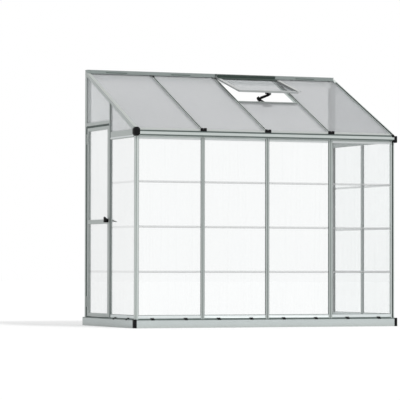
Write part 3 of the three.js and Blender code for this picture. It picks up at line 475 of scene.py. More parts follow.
def moulded_plastic(name, colour):
    """Moulded plastic with a fine grain, dull scuffed edges and a little dust."""
    material, tree = new_material(name)
    place = stretched(tree)
    grain = noise(tree, place, 420.0, detail=3.0)
    scuffs = noise(tree, place, 55.0, detail=5.0)
    rounded, edges = worn_edges(tree, 0.0012)
    worn = times(tree, edges, spread(tree, scuffs, 0.1, 0.9, 0.4, 0.65))
    base = blended(tree, spread(tree, scuffs, 0.0, 0.5, 0.45, 0.7), colour, shaded(colour, 1.8, 0.001))
    base = blended(tree, times(tree, worn, 0.4), base, shaded(colour, 1.0, 0.02))
    dusty = times(tree, upward(tree), spread(tree, scuffs, 0.0, 0.25, 0.35, 0.7))
    base = blended(tree, dusty, base, list(bpy.context.scene.greenhouse_colours.dark_dust))
    rough = spread(tree, scuffs, 0.45, 0.62, 0.3, 0.7)
    normal = bumped(tree, grain, 0.25, 0.0002, rounded)
    close(tree, surface(tree, base, rough, normal, Specular_IOR_Level=0.12))
    return material


def clear_sheet(name, tint, ribs, body=0.09, edge=0.15, rib_shade_cover=0.4):
    """Clear ribbed sheet: see-through, with ribs painted greyer and less clear as painted shade, a film of
    dust and faint drip streaks.
    """
    material, tree = new_material(name)
    height = distance_along(tree, "Z")
    mask = 0.0
    for level, half in ribs:
        away = calc(tree, "ABSOLUTE", calc(tree, "SUBTRACT", height, level))
        band = spread(tree, away, 1.0, 0.0, half * 0.8, half)
        mask = band if mask == 0.0 else calc(tree, "MAXIMUM", mask, band)
    streaks = noise(tree, stretched(tree, (28.0, 28.0, 0.7)))
    film = noise(tree, stretched(tree, (2.4, 2.4, 1.2)), roughness=0.55)
    facing = add(tree, "ShaderNodeLayerWeight", {"Blend": 0.35}).outputs["Fresnel"]
    cover = plus(tree, spread(tree, streaks, 0.0, 0.03, 0.5, 0.8), spread(tree, film, 0.0, 0.04, 0.35, 0.8))
    cover = plus(tree, plus(tree, cover, body), times(tree, facing, edge))
    base = tinted(tree, tint, film, 0.97)
    # At the ribs' heights the sheet is greyer and less clear: painted shade of the ribs.
    if ribs:
        cover = calc(tree, "MAXIMUM", cover, times(tree, mask, rib_shade_cover))
        base = tinted(tree, tint, mask, 0.62)
    rough = spread(tree, film, 0.06, 0.16)
    shader = surface(tree, base, rough, bumped(tree, film, 0.05, 0.002), IOR=PLASTIC_IOR)
    close(tree, mixed(tree, cover, see_through(tree, CLEAR), shader))
    return material


def twin_wall_sheet(name, colour, across, cover=0.5, glowing=0.3, smoke=0.93):
    """Translucent twin-wall sheet: inner walls, milky skins and a soft gloss."""
    material, tree = new_material(name)
    pitch = bpy.context.scene.greenhouse_sizes.flute_pitch
    share = calc(tree, "FRACT", calc(tree, "DIVIDE", distance_along(tree, across), pitch))
    wave = calc(tree, "ABSOLUTE", calc(tree, "SUBTRACT", share, 0.5))
    walls = spread(tree, wave, 0.0, 1.0, 0.36, 0.46)
    film = noise(tree, stretched(tree, (1.6, 1.6, 1.6)), roughness=0.55)
    specks = noise(tree, stretched(tree, (30.0, 9.0, 9.0)), detail=5.0)
    base = tinted(tree, colour, spread(tree, film, 0.0, 1.0, 0.3, 0.7), 0.95)
    base = blended(tree, times(tree, walls, 0.35), base, shaded(colour, 0.82))
    rough = spread(tree, specks, 0.32, 0.42, 0.35, 0.7)
    skin = surface(tree, base, rough, bumped(tree, wave, 0.06, 0.0004), IOR=PLASTIC_IOR)
    glow = add(tree, "ShaderNodeBsdfTranslucent", {"Color": base}).outputs[0]
    opacity = plus(tree, times(tree, walls, 0.1), spread(tree, film, cover - 0.02, cover + 0.03))
    through = see_through(tree, (smoke, smoke + 0.01, smoke + 0.015))
    close(tree, mixed(tree, opacity, through, mixed(tree, glowing, skin, glow)))
    return material


def rubber(name, colour):
    """Soft sealing strip: matt, slightly mottled."""
    material, tree = new_material(name)
    place = stretched(tree)
    mottle = noise(tree, place, 160.0)
    chalk = noise(tree, place, 14.0)
    base = blended(tree, spread(tree, chalk, 0.0, 0.4, 0.4, 0.75), colour, shaded(colour, 1.3, 0.008, 0.95))
    normal = bumped(tree, mottle, 0.3, 0.0003)
    close(tree, surface(tree, base, spread(tree, mottle, 0.62, 0.85), normal, Specular_IOR_Level=0.15))
    return material


def finish_named(name):
    """A finish by name, made once; a word after "along" gives the way of a profile's draw lines."""
    found = bpy.data.materials.get(name)
    if found:
        return found
    colours = bpy.context.scene.greenhouse_colours
    kind, _, way = name.partition(" along ")
    metals = {
        "Profile": list(colours.profile),
        # Lighter copies of the profile colour: painted light.
        "Pale profile": shaded(colours.profile, 1.28),
        "Bar profile": shaded(colours.profile, 1.72),
        # The ridge's darker colour, as painted shade on the vent's cross rail, the right side post and the
        # right eave rail.
        "Shaded profile": list(colours.ridge),
        "Vent profile": list(colours.sash),
    }
    rubbers = {
        # Real seals, and dark strips laid as painted shade where shade falls.
        "Seal and painted shade strip": list(colours.seal),
        # A darker copy of the seal colour, laid as painted shade on the roof bars, the right gable rail, the
        # right corner post, the right rear post and the vent's right rail.
        "Painted shade strip": shaded(colours.seal, 0.2),
        "Vent seal and painted shade": list(colours.vent_seal),
        "Edge trim": list(colours.trim),
    }
    if kind in metals:
        return metal(name, metals[kind], way)
    if kind in rubbers:
        return rubber(name, rubbers[kind])
    if kind == "Ridge profile":
        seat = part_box("ridge_beam")[0].z + RIDGE_SEAT
        return metal(name, list(colours.ridge), way, clear_below=seat)
    if kind == "Screw steel":
        return metal(name, list(colours.screws), "z", metallic=0.9, roughness=(0.25, 0.4), lines=0.05)
    if kind == "Base steel":
        return painted_steel(name, list(colours.base), list(colours.sill), ledge() + NEAR)
    if kind == "Black plastic":
        return moulded_plastic(name, list(colours.black))
    if kind == "Roof sheet":
        return twin_wall_sheet(name, list(colours.twin_wall), "X")
    if kind == "Vent sheet":
        return twin_wall_sheet(name, list(colours.twin_wall), "X", cover=0.1, smoke=0.785)
    if kind == "Gable sheet":
        return twin_wall_sheet(name, list(colours.gable), "Y", cover=0.4, glowing=0.6)
    raise ValueError(f"no finish is called {name}")


def dress(names, material):
    """Puts a finish on every slot of some frame nodes."""
    for name in names:
        slots = NODES[name].material_slots
        for slot in slots:
            slot.material = material
        if not len(slots):
            NODES[name].data.materials.append(material)


# Shapes


def prism(mesh, outline, start, end, right, up):
    """Adds a closed bar whose outline, given along right and up, runs from start to end."""
    ends = []
    for point in (start, end):
        ends.append([mesh.verts.new(Vector(point) + a * Vector(right) + b * Vector(up)) for a, b in outline])
    count = len(outline)
    for i in range(count):
        j = (i + 1) % count
        mesh.faces.new((ends[0][i], ends[0][j], ends[1][j], ends[1][i]))
    mesh.faces.new(ends[0][::-1])
    mesh.faces.new(ends[1])
    return mesh


def copy_of(node):
    """The mesh of a frame node with its flat faces joined, ready to be formed further."""
    mesh = bmesh.new()
    mesh.from_mesh(NODES[node].data)
    bmesh.ops.remove_doubles(mesh, verts=mesh.verts, dist=1e-5)
    bmesh.ops.dissolve_limit(mesh, angle_limit=math.radians(1), verts=mesh.verts, edges=mesh.edges)
    return mesh


def bead_outline(width, height, steps=6):
    """Half a rounded bead that sits on zero."""
    arc = [math.pi * step / steps for step in range(steps + 1)]
    return [(width / 2 * math.cos(angle), height * math.sin(angle)) for angle in arc]


def strip_outline(width, height):
    """A flat strip with eased outer corners that sits on zero."""
    half, ease = width / 2, min(height * 0.4, width * 0.25)
    side, crown = height - ease, half - ease
    return [(-half, 0), (half, 0), (half, side), (crown, height), (-crown, height), (-half, side)]


class Wall:
    """An outer face of a wall: places on it are given along the wall and upwards."""

    def __init__(self, along, out, reach):
        self.along, self.out, self.reach = Vector(along), Vector(out), reach

    def at(self, along, height):
        return self.along * along + self.out * self.reach + Vector((0, 0, height))

    def upright(self, mesh, outline, along, low, high):
        return prism(mesh, outline, self.at(along, low), self.at(along, high), self.along, self.out)

    def level(self, mesh, outline, height, start, end):
        return prism(mesh, outline, self.at(start, height), self.at(end, height), Z, self.out)


def front_wall(y):
    return Wall(X, -Y, -y)


def left_wall(x):
    return Wall(Y, -X, -x)


def wall_bays():
    """Every glazed bay: its wall at the sheet's face, the axis along it, its sheet, its start and its end."""
    front = front_wall(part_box("front_sheet_1")[0].y + RIB)
    left = left_wall(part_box("side_sheet_left")[0].x + RIB)
    right = Wall(Y, X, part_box("side_sheet_right_front")[1].x - RIB)
    posts = ["corner_post_left", *FRONT_POSTS, "corner_post_right"]
    bays = [(front, 0, sheet, posts[i], posts[i + 1]) for i, sheet in enumerate(FRONT_SHEETS)]
    bays.append((left, 1, "side_sheet_left", "corner_post_left", "door_post"))
    bays.append((right, 1, "side_sheet_right_front", "corner_post_right", "side_post_right"))
    bays.append((right, 1, "side_sheet_right_rear", "side_post_right", "rear_post_right"))
    return [
        (wall, axis, sheet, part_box(before)[1][axis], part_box(after)[0][axis])
        for wall, axis, sheet, before, after in bays
    ]


def screw(mesh, place, way, radius, height, sides=20):
    """Adds a domed screw head with a cross recess, standing on a face."""
    way = Vector(way).normalized()
    side = way.orthogonal().normalized()
    other = way.cross(side)
    recess, recess_share = 0.45, 0.5
    rings = [(1.0, 0.0), (1.0, 0.35), (0.9, 0.7), (0.62, 0.95), (0.42, 1.0), (0.2, 1.0)]
    made = []
    for share, rise in rings:
        ring = []
        for i in range(sides):
            angle = 2 * math.pi * i / sides
            cross = abs(math.cos(2 * angle)) > 0.8 and share < recess_share
            depth = rise - (recess if cross else 0.0)
            across = side * math.cos(angle) + other * math.sin(angle)
            ring.append(mesh.verts.new(Vector(place) + across * radius * share + way * height * depth))
        made.append(ring)
    for lower, upper in zip(made, made[1:]):
        for i in range(sides):
            j = (i + 1) % sides
            mesh.faces.new((lower[i], lower[j], upper[j], upper[i]))
    mesh.faces.new(made[-1])
    mesh.faces.new(made[0][::-1])


def piece(name, mesh, finish, body="frame", bevel=0.0, placement=None):
    """Turns a mesh in progress into a piece with a finish that rides on a body."""
    if placement:
        bmesh.ops.transform(mesh, matrix=placement, verts=mesh.verts)
    bmesh.ops.recalc_face_normals(mesh, faces=mesh.faces)
    if bevel:
        corner = math.radians(25)
        sharp = [edge for edge in mesh.edges if edge.is_manifold and edge.calc_face_angle() > corner]
        rounding = {"offset": bevel, "segments": 2, "profile": 0.6, "affect": "EDGES"}
        bmesh.ops.bevel(mesh, geom=sharp, clamp_overlap=True, **rounding)
    data = bpy.data.meshes.new(name)
    mesh.to_mesh(data)
    mesh.free()
    data.shade_smooth()
    data.set_sharp_from_angle(angle=math.radians(35))
    data.materials.append(finish_named(finish))
    made = bpy.data.objects.new(name, data)
    bpy.context.scene.collection.objects.link(made)
    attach(made, body)
    return made


class GREENHOUSE_OT_stage(Operator):
    """Lays the floor and sets the lights and the camera"""

    bl_idname = "greenhouse.stage"
    bl_label = "Stage"

    def execute(self, context):
        stage = context.scene.greenhouse_stage
        self.lay_floor(stage)
        self.light(context.scene, stage)
        self.place_camera(context.scene, stage)
        context.scene.view_settings.view_transform = "Standard"
        return {"FINISHED"}

    def lay_floor(self, stage):
        mesh = bmesh.new()
        bmesh.ops.create_circle(mesh, cap_ends=True, radius=stage.floor_radius, segments=96)
        data = bpy.data.meshes.new("floor")
        mesh.to_mesh(data)
        mesh.free()
        floor = bpy.data.objects.new("floor", data)
        bpy.context.scene.collection.objects.link(floor)
        material, tree = new_material("Pale floor")
        grain = noise(tree, stretched(tree), 3.0, roughness=0.5)
        pale = list(bpy.context.scene.greenhouse_colours.floor)
        colour = tinted(tree, pale, grain, 0.985)
        matt = add(tree, "ShaderNodeBsdfDiffuse", {"Color": colour}).outputs[0]
        white = {"Color": (1.0, 1.0, 1.0, 1.0), "Strength": stage.floor_glow}
        glow = add(tree, "ShaderNodeEmission", white).outputs[0]
        both = add(tree, "ShaderNodeAddShader", {0: matt, 1: glow}).outputs[0]
        close(tree, mixed(tree, background_rays(tree), matt, both))
        data.materials.append(material)

    def light(self, scene, stage):
        world = bpy.data.worlds.new("Studio")
        world.use_nodes = True
        tree = world.node_tree
        tree.nodes.clear()
        soft, white = [
            add(tree, "ShaderNodeBackground", {"Color": (1, 1, 1, 1), "Strength": strength}).outputs[0]
            for strength in (stage.sky_strength, 1.0)
        ]
        add(tree, "ShaderNodeOutputWorld", {"Surface": mixed(tree, background_rays(tree), soft, white)})
        scene.world = world
        lamp = bpy.data.lights.new("key", "SUN")
        lamp.energy = stage.sun_strength
        lamp.angle = stage.sun_softness
        sun = bpy.data.objects.new("key", lamp)
        sun.rotation_mode = "QUATERNION"
        sun.rotation_quaternion = Vector(stage.sun_way).to_track_quat("-Z", "Y")
        scene.collection.objects.link(sun)

    def place_camera(self, scene, stage):
        lens = bpy.data.cameras.new("camera")
        lens.sensor_fit = "HORIZONTAL"
        lens.lens = stage.focal_share * lens.sensor_width
        lens.clip_start, lens.clip_end = 0.5, 200.0
        camera = bpy.data.objects.new("camera", lens)
        yaw, pitch = stage.camera_yaw, stage.camera_pitch
        look = Vector((math.sin(yaw) * math.cos(pitch), math.cos(yaw) * math.cos(pitch), math.sin(pitch)))
        camera.location = stage.camera_place
        camera.rotation_mode = "QUATERNION"
        roll = Matrix.Rotation(stage.camera_roll, 3, "Z").to_quaternion()
        camera.rotation_quaternion = look.to_track_quat("-Z", "Y") @ roll
        scene.collection.objects.link(camera)
        scene.camera = camera


class GREENHOUSE_OT_profiles(Operator):
    """Gives the frame, door and vent profiles and the base their finishes"""

    bl_idname = "greenhouse.profiles"
    bl_label = "Metal profiles"

    def execute(self, context):
        for finish, names in FINISHES.items():
            dress(names, finish_named(finish))
        return {"FINISHED"}


class GREENHOUSE_OT_sheets(Operator):
    """Gives the wall, door, roof and gable sheets their finishes"""

    bl_idname = "greenhouse.sheets"
    bl_label = "Sheets"

    def execute(self, context):
        sizes = context.scene.greenhouse_sizes
        tint = list(context.scene.greenhouse_colours.clear)
        ribs = [(sizes.rib_level + i * sizes.rib_pitch, sizes.rib_half) for i in range(3)]
        dress(FRONT_SHEETS, clear_sheet("Clear wall sheet", tint, ribs))
        # The strength of the painted shade on the ribs differs from sheet to sheet.
        dress(SIDE_SHEETS[:1], clear_sheet("Clear left sheet", tint, ribs, body=0.06, rib_shade_cover=0.21))
        dress(SIDE_SHEETS[1:], clear_sheet("Clear right sheet", tint, ribs, body=0.01, edge=0.05))
        dress(["door_sheet_lower"], clear_sheet("Clear door sheet", tint, ribs[:1], rib_shade_cover=0.24))
        dress(["door_sheet_upper"], clear_sheet("Clear flat sheet", tint, []))
        dress(ROOF_SHEETS, finish_named("Roof sheet"))
        dress(["vent_sheet"], finish_named("Vent sheet"))
        dress(GABLE_SHEETS, finish_named("Gable sheet"))
        return {"FINISHED"}


class GREENHOUSE_OT_black_pieces(Operator):
    """Makes the moulded black pieces with rounded edges"""

    bl_idname = "greenhouse.black_pieces"
    bl_label = "Black pieces"

    def execute(self, context):
        bevel = context.scene.greenhouse_sizes.bevel
        for node, body in BLACK_PIECES.items():
            width = bevel / 2 if node.startswith("stay") else bevel
            made = piece(f"{node}_moulded", copy_of(node), "Black plastic", body, bevel=width)
            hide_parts(node)
        return {"FINISHED"}


class GREENHOUSE_OT_end_caps(Operator):
    """Makes the moulded end caps of the gutter"""

    bl_idname = "greenhouse.end_caps"
    bl_label = "Gutter end caps"

    def execute(self, context):
        bevel = context.scene.greenhouse_sizes.bevel
        self.cap("gutter_end_cap_left", self.lump(*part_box("gutter_end_cap_left")), bevel)
        self.cap("gutter_end_cap_right", self.block(*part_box("gutter_end_cap_right")), bevel)
        return {"FINISHED"}

    def lump(self, low, high):
        """The left cap seen from the front: a lump with cut corners, clear of the sheet under it."""
        foot, cut = low.z + 0.012, 0.016
        return [
            (low.x, foot + cut),
            (low.x + cut, foot),
            (high.x - cut, foot),
            (high.x, foot + cut),
            (high.x, high.z - cut),
            (high.x - cut, high.z),
            (low.x + cut, high.z),
            (low.x, high.z - cut),
        ]

    def block(self, low, high):
        """The right cap seen from the front: a block with a knuckle at its top and a tongue in the gutter."""
        seam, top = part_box("gutter")[1].x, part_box("gutter")[1].z
        tongue, tip, ease = seam - 0.017, seam - 0.024, 0.004
        knuckle, shoulder = 0.012, 0.008
        tongue_low, tongue_high = low.z + 0.010, low.z + 0.024
        return [
            (high.x, low.z + ease),
            (high.x, top - ease),
            (high.x - ease, top),
            (seam, top),
            (seam, top + shoulder),
            (seam - ease, top + knuckle),
            (tip + ease, top + knuckle),
            (tip, top + shoulder),
            (tip, top - shoulder),
            (tip + ease, top - knuckle),
            (seam, top - knuckle),
            (seam, tongue_high),
            (tongue, tongue_high),
            (tongue, tongue_low),
            (seam, tongue_low),
            (seam, low.z + ease),
            (seam + ease, low.z),
            (high.x - ease, low.z),
        ]

    def cap(self, node, outline, bevel):
        front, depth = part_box(node)[0].y, 0.040
        mesh = prism(bmesh.new(), outline, (0, front, 0), (0, front + depth, 0), X, Z)
        made = piece(f"{node}_moulded", mesh, "Black plastic", bevel=bevel)
        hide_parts(node)


class GREENHOUSE_OT_outer_handle(Operator):
    """Makes the wedge-shaped outer handle with its rose and spindle"""

    bl_idname = "greenhouse.outer_handle"
    bl_label = "Outer handle"

    def execute(self, context):
        bevel = context.scene.greenhouse_sizes.bevel
        spindle = Vector(JOINTS["handle_turn"]["pos_m"])
        half, spindle_radius, rose_radius, rose_depth = 0.0135, 0.0075, 0.013, 0.0009
        wedge = [
            (-0.037, 0.025),
            (-0.037, -0.020),
            (-0.005, -0.020),
            (-0.001, -0.008),
            (-0.001, 0.006),
            (-0.008, 0.008),
            (-0.032, 0.028),
        ]
        mesh = prism(bmesh.new(), wedge, spindle - half * Y, spindle + half * Y, X, Z)
        self.round_bar(mesh, spindle, spindle_radius, 0.0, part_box("handle_outer")[1].x - spindle.x)
        made = piece("handle_outer_moulded", mesh, "Black plastic", "handle", bevel=bevel)
        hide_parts("handle_outer")
        place = Vector((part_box("door_lock_stile")[0].x, spindle.y, spindle.z))
        rose = self.round_bar(bmesh.new(), place, rose_radius, -rose_depth, 0.0)
        piece("handle_rose", rose, "Black plastic", "door", bevel=GAP)
        return {"FINISHED"}

    def round_bar(self, mesh, place, radius, start, end, steps=28):
        ring = [2 * math.pi * step / steps for step in range(steps)]
        outline = [(radius * math.cos(angle), radius * math.sin(angle)) for angle in ring]
        return prism(mesh, outline, place + start * X, place + end * X, Y, Z)


class GREENHOUSE_OT_gutter_trims(Operator):
    """Forms the gutter with dark strips of painted shade along its face, and the pale trims on the sheets and
    eave rail under it
    """

    bl_idname = "greenhouse.gutter_trims"
    bl_label = "Gutter and trims"

    def execute(self, context):
        sizes = context.scene.greenhouse_sizes
        low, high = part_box("gutter")
        cap_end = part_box("gutter_end_cap_left")[1].x
        self.gutter(low, cap_end, sizes)
        face = front_wall(low.y + sizes.strip_height + HAIR / 2)
        band, brim = sizes.gutter_shade_band, 0.003
        outline = strip_outline(band, sizes.strip_height)
        strips = bmesh.new()
        # The upper strip paints the shadow gap between the roof sheets and the gutter; the lower strip paints
        # the shade in the groove under its lip.
        for height in (high.z - band / 2 + brim, low.z + GUTTER_LIP + band / 2 + HAIR):
            face.level(strips, outline, height, cap_end + HAIR, high.x - HAIR)
        piece("gutter_painted_shade_strips", strips, "Seal and painted shade strip")
        trim, drop, inset = strip_outline(0.016, sizes.trim_wall), 0.0084, 0.004
        for wall, _, sheet, start, end in wall_bays()[:4]:
            mesh = wall.level(bmesh.new(), trim, low.z - drop, start + inset, end - inset)
            piece(f"{sheet}_top_trim", mesh, "Edge trim")
        rail_low, rail_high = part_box("eave_rail_left")
        bead, rise = bead_outline(0.0115, 0.0022), 0.0128
        side = left_wall(rail_low.x)
        mesh = side.level(bmesh.new(), bead, rail_low.z + rise, rail_low.y, rail_high.y)
        piece("eave_bead_left", mesh, "Edge trim")
        return {"FINISHED"}

    def gutter(self, low, cap_end, sizes):
        """The gutter with its face set back for the strips and its left end inside the cap."""
        inside = 0.0015
        mesh = copy_of("gutter")
        for vertex in mesh.verts:
            if vertex.co.y < low.y + NEAR:
                vertex.co.y += sizes.strip_height + HAIR
            if vertex.co.x < cap_end - 2 * inside:
                vertex.co.x = cap_end - inside
        made = piece("gutter_formed", mesh, "Pale profile along x")
        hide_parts("gutter")


class GREENHOUSE_OT_roof_trims(Operator):
    """Lays dark strips of painted shade on the roof bars and the right gable rail, and the metal trims on the
    lower ends of the roof sheets
    """

    bl_idname = "greenhouse.roof_trims"
    bl_label = "Roof trims"

    def execute(self, context):
        sizes = context.scene.greenhouse_sizes
        bar_half, rail_half, rail_strip = 0.0095, 0.0155, 0.018
        for bar in ROOF_BARS:
            self.strip(bar, centre_of(bar, 0), sizes.bar_shade_strip, sizes)
            self.top_clip(bar)
        self.strip("gable_rake_right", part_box("gable_rake_right")[0].x + bar_half, rail_strip, sizes)
        bars = ["gable_rake_left", *ROOF_BARS, "gable_rake_right"]
        for i, sheet in enumerate(ROOF_SHEETS):
            left = centre_of(bars[i], 0) + (rail_half if i == 0 else bar_half)
            right = centre_of(bars[i + 1], 0) - (rail_half if i == 3 else bar_half)
            outline = self.trim_outline(*in_frame(sheet, ROOF), sizes)
            mesh = prism(bmesh.new(), outline, (left, 0, 0), (right, 0, 0), Y, Z)
            name = f"{sheet}_edge_trim"
            piece(name, mesh, "Profile along x", bevel=GAP, placement=ROOF)
        return {"FINISHED"}

    def trim_outline(self, low, high, sizes):
        """A folded trim over a sheet's lower end, seen from its left."""
        bed, wall = high.z + HAIR, sizes.trim_wall
        foot, toe, head, top = low.y - 2 * GAP, -NEAR, low.y + sizes.trim_reach, bed + wall
        return [(foot - wall, toe), (foot, toe), (foot, bed), (head, bed), (head, top), (foot - wall, top)]

    def top_clip(self, bar):
        half, crown, side, height, length, from_ridge = 0.0088, 0.006, 0.004, 0.0055, 0.016, 0.0015
        middle, top = centre_of(bar, 0), in_frame(bar, ROOF)[1].z
        end = slope_reach(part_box("ridge_beam")[0].y, top) - from_ridge
        outline = [(-half, 0), (half, 0), (half, side), (crown, height), (-crown, height), (-half, side)]
        mesh = prism(bmesh.new(), outline, (middle, end - length, top), (middle, end, top), X, Z)
        piece(f"{bar}_top_clip", mesh, "Black plastic", bevel=0.0008, placement=ROOF)

    def strip(self, bar, middle, width, sizes):
        # A dark strip along the top of a bar or rail: painted shade of its shaded side.
        from_foot, from_ridge = 0.002, 0.019
        top = in_frame(bar, ROOF)[1].z
        start = slope_reach(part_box(bar)[0].y, top) + from_foot
        end = slope_reach(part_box("ridge_beam")[0].y, top) - from_ridge
        outline = strip_outline(width, sizes.strip_height)
        mesh = prism(bmesh.new(), outline, (middle, start, top), (middle, end, top), X, Z)
        piece(f"{bar}_strip", mesh, "Painted shade strip", placement=ROOF)


class GREENHOUSE_OT_ridge_fittings(Operator):
    """Forms the ridge with its inserts and end plate, and the hinge cover and side plates of the vent"""

    bl_idname = "greenhouse.ridge_fittings"
    bl_label = "Ridge fittings"

    def execute(self, context):
        sizes = context.scene.greenhouse_sizes
        low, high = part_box("ridge_beam")
        lip = low.y + RIDGE_LIP
        shorter = 0.025
        beam = copy_of("ridge_beam")
        for vertex in beam.verts:
            if vertex.co.x > high.x - 2 * NEAR:
                vertex.co.x -= shorter
        made = piece("ridge_formed", beam, "Ridge profile along x")
        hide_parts("ridge_beam")
        self.inserts(low, lip, sizes)
        self.end_plate(low, high, lip)
        self.hinge_cover(lip, high.z)
        return {"FINISHED"}

    def inserts(self, low, lip, sizes):
        """The dark inserts in the ridge's channel; their ends are shares of the object's length."""
        length = cad_box[1].x - cad_box[0].x
        foot, rim = low.z + RIDGE_FLOOR + GAP, low.y + RIDGE_RIM
        rise, slant, cut = foot + sizes.insert_height, 0.003, 0.004
        outline = [
            (rim + GAP, foot),
            (lip - GAP, foot),
            (lip - GAP, rise),
            (rim + slant, rise),
            (rim + GAP, rise - cut),
        ]
        for count, shares in enumerate(((0.092, 0.169), (0.340, 0.411), (0.829, 0.900)), 1):
            left, right = [(cad_box[0].x + length * share, 0, 0) for share in shares]
            mesh = prism(bmesh.new(), outline, left, right, Y, Z)
            piece(f"ridge_insert_{count}", mesh, "Seal and painted shade strip", bevel=2 * GAP)

    def end_plate(self, low, high, lip):
        """The folded plate that closes the ridge's left end over the gable rail."""
        gap, wall, top_wall = 0.0005, 0.003, 0.004
        level = in_frame("gable_rake_left", ROOF)[1].z
        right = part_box("gable_rake_left")[1].x

        def over_rail(y):
            return (ROOF @ Vector((0, slope_reach(y, level), level))).z + gap

        top, back = high.z - top_wall - gap, high.y - top_wall - gap
        front = [(lip, over_rail(lip)), (lip, top), (lip + wall, top), (lip + wall, over_rail(lip + wall))]
        mesh = prism(bmesh.new(), front, (low.x, 0, 0), (right - gap, 0, 0), Y, Z)
        start = lip + wall + gap / 5
        side = [(start, over_rail(start)), (start, top), (back, top), (back, over_rail(back))]
        prism(mesh, side, (low.x, 0, 0), (low.x + wall / 2, 0, 0), Y, Z)
        piece("ridge_end_plate", mesh, "Ridge profile along x")

    def hinge_cover(self, lip, top):
        """The soft cover from the sash to the ridge, whose flap down the sash is painted shade, the sash's
        side plates and the seal behind the cover.
        """
        low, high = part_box("vent_sash")
        fin, thick, crown, inset = -0.0191, 0.0014, 0.0235, 0.001
        # The flap reaches down the sash as a dark band of painted shade under the ridge.
        flap_reach, flap_edge, flap_height, sash_height = 0.062, 0.0008, 0.0013, 0.0181
        flap, bed = fin - flap_reach, SASH_UNDERSIDE + sash_height
        outline = [
            (fin, bed),
            (flap, bed),
            (flap, bed + flap_edge),
            (flap + inset, bed + flap_height),
            (fin - thick, bed + flap_height),
            (fin - thick, crown - inset),
            (fin - thick / 2, crown),
            (fin, crown),
        ]
        cover = prism(bmesh.new(), outline, (low.x + inset, 0, 0), (high.x - inset, 0, 0), Y, Z)
        piece("vent_hinge_cover_and_shade_flap", cover, "Vent seal and painted shade", "vent", placement=VENT)
        foot = in_frame("vent_sash", VENT)[0].y + NEAR
        for side, edge, out, reach in (("left", low.x, -X, 0.012), ("right", high.x, X, 0.022)):
            self.side_flap(side, edge, out, reach, foot, flap - NEAR, bed)
        outline, drop, past = strip_outline(0.022, 0.0013), 0.0122, 0.004
        seal = front_wall(lip).level(bmesh.new(), outline, top - drop, low.x - past, high.x + past)
        piece("vent_hinge_seal", seal, "Vent seal and painted shade")

    def side_flap(self, side, edge, out, reach, start, end, bed):
        """A folded plate along a side of the sash that covers the bar there; the right one has a dark strip,
        painted shade of the right rail's inner face.
        """
        plate, lap, lip, strip_width, clear = 0.0012, 0.010, 0.006, 0.012, 0.0015
        inner = reach - plate
        outline = [(-lap, 0), (inner, 0), (inner, -lip), (reach, -lip), (reach, plate), (-lap, plate)]
        mesh = prism(bmesh.new(), outline, (edge, start, bed), (edge, end, bed), out, Z)
        name = f"vent_side_flap_{side}"
        piece(name, mesh, "Vent profile along x", "vent", placement=VENT)
        if side == "right":
            middle = edge - lap - clear - strip_width / 2
            strip = strip_outline(strip_width, 0.001)
            mesh = prism(bmesh.new(), strip, (middle, start, bed), (middle, end, bed), X, Z)
            piece("vent_side_painted_shade_strip", mesh, "Painted shade strip", "vent", placement=VENT)


